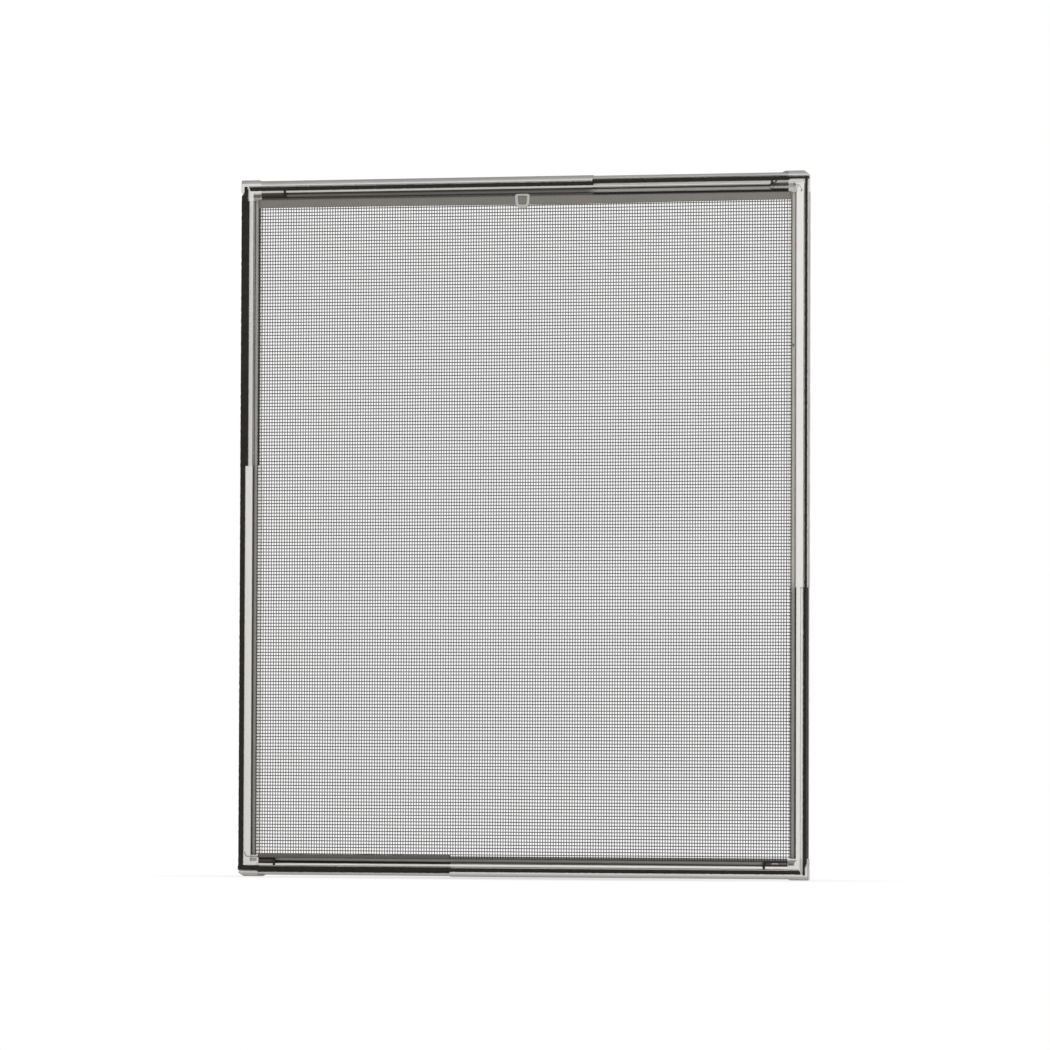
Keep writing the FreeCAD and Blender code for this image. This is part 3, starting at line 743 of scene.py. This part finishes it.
class SCREEN_OT_seals(bpy.types.Operator):
    """Builds the black pile seals: a strip of fibres that fans out of its groove, with loose tufts on it."""

    bl_idname = "screen.seals"
    bl_label = "Pile seals"

    CROWN = 0.8 * MM
    STEP = 1.25 * MM
    FAN_FOOT = 1.0 * MM
    FAN_HEIGHT = 2.5 * MM
    RAGGED = 0.25 * MM
    TUFT_RISE = 0.45 * MM
    TUFT_ROOT = 0.5 * MM
    TUFT_FOOT = 0.30 * MM
    TUFT_TIP = 0.06 * MM
    TUFT_CHUNK = 24
    END_GAP = 0.6 * MM
    # Where the foot and the tips of each pile lie, in millimetres from the outer edge of the outer bar.
    FOOT = {
        "top_outer_seal": (6.2, 9.8), "top_inner_seal": (5.1, 8.3),
        "bottom_outer_seal": (5.1, 8.6), "bottom_inner_seal": (4.0, 9.3),
        "left_outer_seal": (0.2, 4.9), "left_inner_seal": (0.8, 7.7),
        "right_outer_seal": (2.3, 4.3), "right_inner_seal": (1.6, 5.6),
    }
    TIPS = {
        "top_outer_seal": (6.4, 10.3), "top_inner_seal": (4.6, 8.2),
        "bottom_outer_seal": (4.8, 8.4), "bottom_inner_seal": (3.6, 9.2),
        "left_outer_seal": (0.4, 5.5), "left_inner_seal": (0.3, 8.3),
        "right_outer_seal": (1.3, 3.9), "right_inner_seal": (1.5, 5.0),
    }
    # A pile narrows towards one end: whether that is the low one, then each range and the distance from that
    # end where it begins, in millimetres.
    NARROW_BLEND = 0.5 * MM
    NARROW = {
        "top_inner_seal": (False, ((5.0, 7.0), 20.5)),
        "bottom_inner_seal": (True, ((5.3, 9.7), 20.5)),
        "left_inner_seal": (False, ((0.5, 5.9), 10.8), ((3.3, 5.9), 5.4)),
        "right_inner_seal": (True, ((2.8, 5.1), 6.0)),
    }
    # Tips that lean on past the end of their strip, in millimetres at the low and the high end.
    LEAN_REACH = 8.0 * MM
    LEAN = {
        "left_outer_seal": (2.2, 0.0), "right_outer_seal": (0.0, 6.6), "left_inner_seal": (0.0, 3.8),
        "right_inner_seal": (5.6, 0.0), "top_outer_seal": (0.8, 0.0), "bottom_outer_seal": (0.0, 2.2),
    }
    MITRE = 1.4 * MM
    MITRE_REACH = 4.0 * MM

    def execute(self, context):
        pile = pile_finish("seal_pile", tuple(context.scene.screen_colours.pile))
        gap = context.scene.screen_sizes.tuft_gap
        for seal in SEALS:
            piece = mesh_object(seal + "_pile", self.strip(seal, gap), pile)
            settle(piece, "seal_pile", seal)
        return {"FINISHED"}

    def spread(self, seal, table, rests):
        """Range of the foot or the tips across a seal, at distances from its low and its high end."""
        first, last = table[seal]
        at_low, *steps = self.NARROW.get(seal, (True,))
        rest = rests[0] if at_low else rests[1]
        for (narrow_first, narrow_last), length in steps:
            blend = clamped((length * MM - rest) / self.NARROW_BLEND, 0.0, 1.0)
            first += (narrow_first - first) * blend
            last += (narrow_last - last) * blend
        return sorted(inward(side_of(seal), edge * MM) for edge in (first, last))

    def lean(self, seal, rests):
        """How far a tip near an end leans on along the seal."""
        before, after = self.LEAN.get(seal, (0.0, 0.0))
        near_low, near_high = (max(0.0, 1.0 - rest / self.LEAN_REACH) for rest in rests)
        return after * MM * near_high - before * MM * near_low

    def mitre(self, seal, spot, low, high):
        """How far an end of an outer rail's pile is cut back across its width."""
        side = side_of(seal)
        if side not in RAILS or "outer" not in seal:
            return 0.0
        rest = spot.x - low.x if side == "top" else high.x - spot.x
        share = (spot.z - low.z) / (high.z - low.z)
        lean = 1.0 - share if side == "top" else -share
        return self.MITRE * lean * max(0.0, 1.0 - rest / self.MITRE_REACH)

    def strip(self, seal, gap):
        low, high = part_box(seal)
        along = long_axis(side_of(seal))
        across = 2 - along
        front = low.y + self.TUFT_RISE
        base_low = Vector((low.x, front, low.z))
        length = high[along] - low[along]
        bm = bmesh.new()
        bmesh.ops.create_cube(bm, size=1.0, matrix=Matrix.Translation((base_low + high) / 2)
                              @ Matrix.Diagonal((*(high - base_low), 1.0)))
        crown = [edge for edge in long_edges(bm, along, length)
                 if all(abs(vert.co.y - front) < 0.001 * MM for vert in edge.verts)]
        bmesh.ops.bevel(bm, geom=crown, offset=self.CROWN, affect="EDGES", segments=3, profile=0.5,
                        material=-1)
        bmesh.ops.subdivide_edges(bm, edges=long_edges(bm, along, length),
                                  cuts=max(2, int(length / self.STEP)), use_grid_fill=True)
        for vert in bm.verts:
            place = vert.co[along]
            rests = (place - low[along], high[along] - place)
            share = (vert.co[across] - low[across]) / (high[across] - low[across])
            fan = clamped((high.y - self.FAN_FOOT - vert.co.y) / self.FAN_HEIGHT, 0.0, 1.0)
            ragged = noise.noise(Vector((place * 260.0, share * 3.0, 3.0)))
            ranges = (self.spread(seal, table, rests) for table in (self.FOOT, self.TIPS))
            foot, tips = (first + (last - first) * share for first, last in ranges)
            vert.co[across] = foot + (tips + self.RAGGED * ragged - foot) * fan
            vert.co.y += self.RAGGED * (ragged + 1.0) / 2 * fan
            vert.co[along] += self.mitre(seal, vert.co, low, high)
            vert.co[along] += self.lean(seal, rests) * max(0.0, 2.0 * fan - 1.0)
        self.tufts(bm, seal, gap)
        return bm

    def tufts(self, bm, seal, gap):
        """Loose tufts all along the crown, made a few at a time."""
        rng = random.Random(seal)
        low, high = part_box(seal)
        along = long_axis(side_of(seal))
        length = high[along] - low[along]
        steps = max(2, int(length / gap))
        edge = HALF_FRAME - self.END_GAP
        for start in range(0, steps, self.TUFT_CHUNK):
            few = bmesh.new()
            for step in range(start, min(start + self.TUFT_CHUNK, steps)):
                place = low[along] + (step + 0.5) * length / steps
                rests = (place - low[along], high[along] - place)
                first, last = self.spread(seal, self.TIPS, rests)
                lanes = max(1, int((last - first) / gap))
                for lane in range(lanes):
                    spot = Vector((0.0, low.y + self.TUFT_RISE, 0.0))
                    spot[along] = place + rng.uniform(-0.4, 0.4) * gap
                    share = 0.08 + 0.84 * (lane + rng.uniform(0.2, 0.8)) / lanes
                    spot[2 - along] = first + (last - first) * share
                    spot[along] += self.mitre(seal, spot, low, high)
                    spot[along] += self.lean(seal, rests)
                    spot.x = clamped(spot.x, -edge, edge)
                    self.tuft(few, spot, rng)
            append(bm, few)

    def tuft(self, bm, spot, rng):
        rise = self.TUFT_RISE * rng.uniform(0.3, 0.9)
        nod, sway = (Matrix.Rotation(rng.uniform(-0.4, 0.4), 4, axis) for axis in ("X", "Z"))
        turn = nod @ sway @ Matrix.Rotation(math.radians(90.0), 4, "X")
        middle = spot + Vector((0.0, (self.TUFT_ROOT - rise) / 2, 0.0))
        bmesh.ops.create_cone(bm, cap_ends=True, segments=3, radius1=self.TUFT_FOOT, radius2=self.TUFT_TIP,
                              depth=rise + self.TUFT_ROOT, matrix=Matrix.Translation(middle) @ turn)


class SCREEN_OT_splines(bpy.types.Operator):
    """Builds the ribbed cords that hold the mesh in its grooves."""

    bl_idname = "screen.splines"
    bl_label = "Splines"

    # Painted light and shade on each cord: its shade before and past the end of its side's outer bar.
    SHADES = {"top": (0.36, 1.2), "bottom": (0.85, 0.70), "left": (0.86, 1.25), "right": (0.95, 1.6)}
    # Dirt in the front view, in millimetres: start, end and width of a stroke.
    SPECKS = {"right": [((274.4, 528.6), (276.2, 528.6), 2.8)]}
    # In millimetres at the low and the high end: how far each cord sits off the middle of its groove towards
    # the opening, and its radius.
    ASIDE = {"top": (0.5, 1.2), "bottom": (2.1, 0.8), "left": (0.7, 1.0), "right": (0.7, 0.6)}
    RADIUS = {"top": (1.85, 1.85), "bottom": (1.90, 2.05), "left": (2.0, 2.0), "right": (2.05, 2.05)}
    RIBS = 9
    RIB_DEPTH = 0.12
    PRESS = 0.025
    STEP = 6.0 * MM

    def execute(self, context):
        colour = tuple(context.scene.screen_colours.vinyl)
        for side in SIDES:
            spline = side + "_spline"
            specks = self.SPECKS.get(side, [])
            vinyl = vinyl_finish(spline + "_vinyl", colour, side, self.SHADES[side], specks)
            settle(mesh_object(side + "_ribbed_spline", self.cord(side), vinyl), "spline_vinyl", spline)
        return {"FINISHED"}

    def cord(self, side):
        low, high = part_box(side + "_spline")
        along = long_axis(side)
        length = high[along] - low[along]
        low_radius, high_radius = (radius * MM for radius in self.RADIUS[side])
        low_aside, high_aside = (INWARD[side][1] * aside * MM for aside in self.ASIDE[side])
        turn = Matrix.Rotation(math.radians(90.0), 4, "Y") if side in RAILS else Matrix.Identity(4)
        bm = bmesh.new()
        bmesh.ops.create_cone(bm, cap_ends=True, segments=2 * self.RIBS, radius1=low_radius,
                              radius2=high_radius, depth=length)
        rim = sorted(bm.verts, key=lambda vert: (vert.co.z, math.atan2(vert.co.y, vert.co.x)))
        for vert in rim[1::2]:
            vert.co.xy *= 1.0 - self.RIB_DEPTH
        bmesh.ops.subdivide_edges(bm, edges=long_edges(bm, 2, length), cuts=int(length / self.STEP),
                                  use_grid_fill=True)
        for vert in bm.verts:
            press = noise.noise(Vector((vert.co.z * 55.0, along, 7.0)))
            vert.co.xy *= 1.0 - self.PRESS + self.PRESS * press
        bmesh.ops.transform(bm, matrix=Matrix.Translation((low + high) / 2) @ turn, verts=bm.verts)
        for vert in bm.verts:
            share = (vert.co[along] - low[along]) / length
            vert.co[2 - along] += low_aside + (high_aside - low_aside) * share
        return bm


class SCREEN_OT_insect_mesh(bpy.types.Operator):
    """Weaves the insect mesh in four quarters and lays its hem as a band under the top rail."""

    bl_idname = "screen.insect_mesh"
    bl_label = "Insect mesh"

    HALF_WIDTH = 270.3 * MM
    FOOT = 21.3 * MM
    HEAD = 680.7 * MM
    LEVEL = -3.30 * MM
    TUCK = 2.95 * MM
    TUCK_LEVEL = -1.6 * MM
    # How far strands wander, how often, and how far apart in the noise their two directions are read.
    WANDER = 0.10 * MM
    WANDER_SCALE = 18.0
    WANDER_APART = Vector((0.0, 9.5, 0.0))
    BAND_STEP = 3.0 * MM
    BAND_THICKNESS = 0.8 * MM
    BAND_LEVEL = LEVEL - 0.42 * MM
    BAND_RIPPLE = 0.07 * MM
    # The hem's ends, its head, its uneven foot, the fall of its head and the droop of its foot.
    HEM_END = HALF_WIDTH + TUCK - 0.4 * MM
    HEM_HEAD = HEAD + 0.9 * MM
    HEM_WAVE = 0.18 * MM
    HEM_FALL = 0.4 * MM
    DROOP = 1.0 * MM
    DROOP_PLACE = 50.0 * MM
    DROOP_REACH = 140.0 * MM
    # The selvedge's foot and its uneven head.
    SELVEDGE_FOOT = FOOT - 2.4 * MM
    SELVEDGE_HEAD = FOOT + 1.1 * MM
    SELVEDGE_WAVE = 0.15 * MM
    QUARTERS = {"lower_left": (0, 0), "lower_right": (1, 0), "upper_left": (0, 1), "upper_right": (1, 1)}

    def execute(self, context):
        sizes = context.scene.screen_sizes
        colours = context.scene.screen_colours
        yarn = yarn_finish("mesh_yarn", tuple(colours.yarn))
        top = self.HEAD - sizes.hem_height
        columns, rows = sizes.columns, sizes.rows
        bands = {
            "upper_left": self.band(
                "mesh_hem", tuple(colours.hem), (-self.HEM_END, self.HEM_END),
                (top, self.HEM_HEAD), self.HEM_WAVE, self.HEM_FALL),
            "lower_left": self.band(
                "mesh_selvedge", tuple(colours.selvedge), (-self.HALF_WIDTH, SEAM["bottom"]),
                (self.SELVEDGE_FOOT, self.SELVEDGE_HEAD), -self.SELVEDGE_WAVE, 0.0),
        }
        for part, (column, row) in self.QUARTERS.items():
            bm = bmesh.new()
            span = range(column * columns // 2, (column + 1) * columns // 2)
            rise = range(row * rows // 2, (row + 1) * rows // 2)
            self.upright_strands(bm, sizes, span, rise, top)
            self.level_strands(bm, sizes, span, rise, top)
            for vert in bm.verts:
                place = Vector((vert.co.x, 0.0, vert.co.z)) * self.WANDER_SCALE
                vert.co.x += self.WANDER * noise.noise(place)
                vert.co.z += self.WANDER * noise.noise(place + self.WANDER_APART)
            piece = mesh_object("insect_mesh_" + part, bm, yarn)
            settle(piece, "mesh_yarn", "mesh_warp", "mesh_weft")
        return {"FINISHED"}

    def pitch(self, sizes, top):
        return 2 * self.HALF_WIDTH / sizes.columns, (top - self.FOOT) / sizes.rows

    def strands(self, bm, yarn, path, across, count, step):
        """Adds a three-sided strand through the points of a path, and its repeats beside it."""
        radius = yarn / math.sqrt(3.0)
        row = bmesh.new()
        bmesh.ops.create_cone(row, cap_ends=True, segments=3, radius1=radius, radius2=radius, depth=1.0)
        bmesh.ops.subdivide_edges(row, edges=long_edges(row, 2, 1.0), cuts=len(path) - 2, use_grid_fill=True)
        ridge = max(vert.co.y for vert in row.verts)
        for vert in row.verts:
            ring = round((vert.co.z + 0.5) * (len(path) - 1))
            side, rise = vert.co.x, vert.co.y
            vert.co = path[ring]
            vert.co[across] += side
            vert.co.y -= rise - ridge / 4
        bmesh.ops.recalc_face_normals(row, faces=row.faces)
        bmesh.ops.spin(row, geom=[*row.verts, *row.edges, *row.faces], cent=(0.0, 0.0, 0.0),
                       axis=(0.0, 1.0, 0.0), dvec=step, angle=0.0, steps=count - 1,
                       use_merge=False, use_duplicate=True)
        append(bm, row)

    def upright_strands(self, bm, sizes, span, rise, top):
        wide, tall = self.pitch(sizes, top)
        for phase in (0, 1):
            x = -self.HALF_WIDTH + (span[0] + phase + 0.5) * wide
            points = []
            if rise[0] == 0:
                foot = self.FOOT - self.TUCK
                points += [Vector((x, self.TUCK_LEVEL, foot)), Vector((x, self.LEVEL, foot))]
            else:
                points.append(Vector((x, self.LEVEL, self.FOOT + rise[0] * tall)))
            for row in rise:
                crimp = sizes.crimp * (-1) ** (span[0] + phase + row)
                points.append(Vector((x, self.LEVEL + crimp, self.FOOT + (row + 0.5) * tall)))
            if rise[-1] == sizes.rows - 1:
                points.append(Vector((x, self.LEVEL, self.HEAD + self.TUCK / 2)))
            else:
                points.append(Vector((x, self.LEVEL, self.FOOT + (rise[-1] + 1) * tall)))
            self.strands(bm, sizes.yarn, points, 0, len(span) // 2, Vector((2 * wide, 0.0, 0.0)))

    def level_strands(self, bm, sizes, span, rise, top):
        wide, tall = self.pitch(sizes, top)
        edge = self.HALF_WIDTH + self.TUCK
        for phase in (0, 1):
            z = self.FOOT + (rise[0] + phase + 0.5) * tall
            middle = Vector((0.0, self.LEVEL, z))
            points = []
            for column in span:
                crimp = sizes.crimp * (-1) ** (column + rise[0] + phase)
                points.append(Vector((-self.HALF_WIDTH + (column + 0.5) * wide, self.LEVEL - crimp, z)))
            if span[0] == 0:
                tucked = [Vector((-edge, self.TUCK_LEVEL, z)), Vector((-edge, self.LEVEL, z))]
                points = [*tucked, *points, middle]
            else:
                tucked = [Vector((edge, self.LEVEL, z)), Vector((edge, self.TUCK_LEVEL, z))]
                points = [middle, *points, *tucked]
            self.strands(bm, sizes.yarn, points, 2, len(rise) // 2, Vector((0.0, 0.0, 2 * tall)))

    def band(self, name, colour, ends, heights, wave, fall):
        """A closed band of pressed mesh. Its foot is uneven by a wave, or its head where the wave is below 0.

        The head of a band with a fall drops by it towards the right, and its foot droops.
        """
        left, right = ends
        foot, head = heights
        steps = max(8, int((right - left) / self.BAND_STEP))
        bm = bmesh.new()
        bmesh.ops.create_grid(bm, x_segments=steps, y_segments=6, size=1.0)
        for vert in bm.verts:
            along, up = (vert.co.x + 1.0) / 2, (vert.co.y + 1.0) / 2
            x = left + along * (right - left)
            z = foot + up * (head - fall * along - foot)
            ripple = noise.noise(Vector((x * 120.0, 0.0, z * 200.0)))
            if vert.co.y * wave < -0.99 * abs(wave):
                z += abs(wave) * noise.noise(Vector((x * 60.0, 5.0, 0.0)))
            if fall:
                z -= self.DROOP * (1.0 - up) * math.exp(-((x - self.DROOP_PLACE) / self.DROOP_REACH) ** 2)
            vert.co = Vector((x, self.BAND_LEVEL + self.BAND_RIPPLE * ripple, z))
        bmesh.ops.recalc_face_normals(bm, faces=bm.faces)
        if next(iter(bm.faces)).normal.y > 0:
            bmesh.ops.reverse_faces(bm, faces=bm.faces)
        bmesh.ops.solidify(bm, geom=bm.faces[:], thickness=self.BAND_THICKNESS)
        return settle(mesh_object(name, bm, hem_finish(name, colour)), "mesh_yarn", "mesh_warp", "mesh_weft")


class SCREEN_OT_pull_tab(bpy.types.Operator):
    """Builds the ring-shaped pull tab."""

    bl_idname = "screen.pull_tab"
    bl_label = "Pull tab"

    # Half width, taper, lowest and highest point of the ring and of its hole, in millimetres, and how square
    # their feet and heads are.
    RING = (7.25, 0.06, 669.2, 683.4, 3.2, 7.0)
    HOLE = (4.55, 0.10, 672.6, 681.4, 7.0, 7.0)
    FRONT = -4.2 * MM
    BACK = -0.5 * MM
    EDGE_ROUND = 0.5 * MM
    POINTS = 48

    def execute(self, context):
        colour = tuple(context.scene.screen_colours.tab)
        plastic = moulded("tab_plastic", colour, spread=0.06, rough=0.32, grain=900.0)
        piece = mesh_object("pull_tab_ring", self.ring(), plastic.material)
        round_edges(piece, self.EDGE_ROUND, segments=3, angle=50.0)
        settle(piece, "tab_plastic", "pull_tab")
        return {"FINISHED"}

    def outline(self, bm, half_width, taper, lowest, highest, foot_power, head_power):
        """A rounded trapezoid of points, facing the front."""
        made = bmesh.ops.create_circle(bm, segments=self.POINTS, radius=1.0)
        half = (highest - lowest) / 2
        for vert in made["verts"]:
            across, rise, _ = vert.co
            power = 2.0 / (head_power if rise > 0 else foot_power)
            across, rise = (math.copysign(abs(reach) ** power, reach) for reach in (across, rise))
            width = half_width * (1.0 + taper * rise)
            vert.co = (width * across * MM, self.FRONT, (lowest + half + half * rise) * MM)
        return [edge for edge in bm.edges if edge.verts[0] in made["verts"]]

    def ring(self):
        bm = bmesh.new()
        edges = self.outline(bm, *self.RING)
        edges += self.outline(bm, *self.HOLE)
        bmesh.ops.bridge_loops(bm, edges=edges)
        grown = bmesh.ops.extrude_face_region(bm, geom=bm.faces[:], use_keep_orig=True)
        moved = [item for item in grown["geom"] if isinstance(item, bmesh.types.BMVert)]
        bmesh.ops.translate(bm, verts=moved, vec=Vector((0.0, self.BACK - self.FRONT, 0.0)))
        bmesh.ops.recalc_face_normals(bm, faces=bm.faces)
        return bm


class SCREEN_OT_stage(bpy.types.Operator):
    """Lays the pale floor, sets the soft lights and the camera."""

    bl_idname = "screen.stage"
    bl_label = "Stage"

    YAW = math.radians(12.8876)
    PITCH = math.radians(2.2059)
    ROLL = math.radians(0.2068)
    EYE = Vector((1.3672, -5.962, 0.1165))
    CENTRE = Vector((0.0, 0.0, 0.35))
    FOCAL_PIXELS = 6131.9
    PHOTO_PIXELS = 1050.0
    # Place, size and power of each soft light.
    LAMPS = {
        "key_light": ((0.9, -2.9, 0.7), 1.6, 48.0),
        "fill_light": ((-1.3, -2.7, 0.4), 1.4, 10.5),
        "side_light": ((1.6, 2.2, 0.45), 1.0, 30.0),
    }
    WHITE = (1.0, 1.0, 1.0, 1.0)
    ROOM_LIGHT = 0.30
    FLOOR_REACH = 3.0
    FLOOR_GAP = 0.2 * MM
    # How fast the shadowed patch of floor round the foot of the frame fades to white along each axis.
    PATCH_FADE = (2.4, 9.0, 1.0)

    def execute(self, context):
        scene = context.scene
        scene.view_settings.view_transform = "Standard"
        self.floor(scene)
        self.world(scene)
        for name, settings in self.LAMPS.items():
            self.lamp(scene, name, *settings)
        self.camera(scene)
        return {"FINISHED"}

    def camera(self, scene):
        level = Vector((math.cos(self.YAW), math.sin(self.YAW), 0.0))
        ahead = Vector((-math.sin(self.YAW), math.cos(self.YAW), 0.0))
        forward = math.cos(self.PITCH) * ahead + math.sin(self.PITCH) * Vector((0.0, 0.0, 1.0))
        rise = level.cross(forward)
        right = math.cos(self.ROLL) * level + math.sin(self.ROLL) * rise
        up = math.cos(self.ROLL) * rise - math.sin(self.ROLL) * level
        lens = bpy.data.cameras.new("photo_camera")
        lens.sensor_width = 36.0
        lens.lens = lens.sensor_width * self.FOCAL_PIXELS / self.PHOTO_PIXELS
        lens.clip_end = 50.0
        camera = bpy.data.objects.new("photo_camera", lens)
        turn = Matrix((right, up, -forward)).transposed().to_4x4()
        camera.matrix_world = Matrix.Translation(self.EYE) @ turn
        scene.collection.objects.link(camera)
        scene.camera = camera

    def lamp(self, scene, name, place, size, power):
        data = bpy.data.lights.new(name, "AREA")
        data.size = size
        data.energy = power
        lamp = bpy.data.objects.new(name, data)
        lamp.location = place
        lamp.rotation_euler = (self.CENTRE - Vector(place)).to_track_quat("-Z", "Y").to_euler()
        scene.collection.objects.link(lamp)

    def seen(self, nodes, links):
        """1 where the camera, a reflection or clear material looks straight at the surface."""
        path = nodes.new("ShaderNodeLightPath")
        seen = path.outputs["Is Camera Ray"]
        for ray in ("Is Glossy Ray", "Is Transmission Ray"):
            either = nodes.new("ShaderNodeMath")
            either.operation = "MAXIMUM"
            links.new(seen, either.inputs[0])
            links.new(path.outputs[ray], either.inputs[1])
            seen = either.outputs[0]
        return seen

    def world(self, scene):
        world = bpy.data.worlds.new("white_studio")
        world.use_nodes = True
        nodes, links = world.node_tree.nodes, world.node_tree.links
        room = nodes["Background"]
        white = nodes.new("ShaderNodeBackground")
        for light, strength in ((room, self.ROOM_LIGHT), (white, 1.0)):
            light.inputs["Color"].default_value = self.WHITE
            light.inputs["Strength"].default_value = strength
        chosen = nodes.new("ShaderNodeMixShader")
        links.new(self.seen(nodes, links), chosen.inputs[0])
        links.new(room.outputs[0], chosen.inputs[1])
        links.new(white.outputs[0], chosen.inputs[2])
        links.new(chosen.outputs[0], nodes["World Output"].inputs["Surface"])
        scene.world = world

    def floor(self, scene):
        finish = Finish("pale_floor")
        finish.colour(finish.tones(finish.noise(6.0), tuple(scene.screen_colours.floor), 0.01))
        finish.shader.inputs["Roughness"].default_value = 0.9
        finish.shader.inputs["Specular IOR Level"].default_value = 0.1
        white = finish.add("ShaderNodeEmission")
        spread = finish.add("ShaderNodeTexGradient", gradient_type="SPHERICAL")
        finish.join(finish.stretched(self.PATCH_FADE), spread.inputs["Vector"])
        near = finish.range(spread.outputs["Fac"], 1.0, 0.45)
        blend = finish.add("ShaderNodeMixShader")
        finish.join(finish.times(self.seen(finish.nodes, finish.links), near), blend.inputs[0])
        finish.join(finish.shader.outputs[0], blend.inputs[1])
        finish.join(white.outputs[0], blend.inputs[2])
        finish.join(blend.outputs[0], finish.nodes["Material Output"].inputs["Surface"])
        bm = bmesh.new()
        bmesh.ops.create_grid(bm, x_segments=4, y_segments=4, size=self.FLOOR_REACH)
        bmesh.ops.translate(bm, verts=bm.verts, vec=Vector((0.0, 0.0, CAD_BOX[0][2] - self.FLOOR_GAP)))
        mesh_object("pale_floor", bm, finish.material)


class SCREEN_PT_pieces(bpy.types.Panel):
    """Lists the pieces of the screen and what can be changed on them."""

    bl_idname = "SCREEN_PT_pieces"
    bl_label = "Window screen"
    bl_space_type = "VIEW_3D"
    bl_region_type = "UI"
    bl_category = "Screen"

    def draw(self, context):
        for operator in OPERATORS:
            self.layout.operator(operator.bl_idname)
        for group in (context.scene.screen_sizes, context.scene.screen_colours):
            box = self.layout.box()
            for name in group.__annotations__:
                box.prop(group, name)


OPERATORS = (
    SCREEN_OT_bars, SCREEN_OT_corners, SCREEN_OT_clips, SCREEN_OT_seals, SCREEN_OT_splines,
    SCREEN_OT_insect_mesh, SCREEN_OT_pull_tab, SCREEN_OT_stage,
)
CLASSES = (ScreenSizes, ScreenColours, *OPERATORS, SCREEN_PT_pieces)


def register():
    for cls in CLASSES:
        bpy.utils.register_class(cls)
    bpy.types.Scene.screen_sizes = bpy.props.PointerProperty(type=ScreenSizes)
    bpy.types.Scene.screen_colours = bpy.props.PointerProperty(type=ScreenColours)


def unregister():
    del bpy.types.Scene.screen_colours
    del bpy.types.Scene.screen_sizes
    for cls in reversed(CLASSES):
        bpy.utils.unregister_class(cls)


def main():
    register()
    bpy.ops.screen.bars()
    bpy.ops.screen.corners()
    bpy.ops.screen.clips()
    bpy.ops.screen.seals()
    bpy.ops.screen.splines()
    bpy.ops.screen.insect_mesh()
    bpy.ops.screen.pull_tab()
    bpy.ops.screen.stage()


if __name__ == "__main__":
    main()
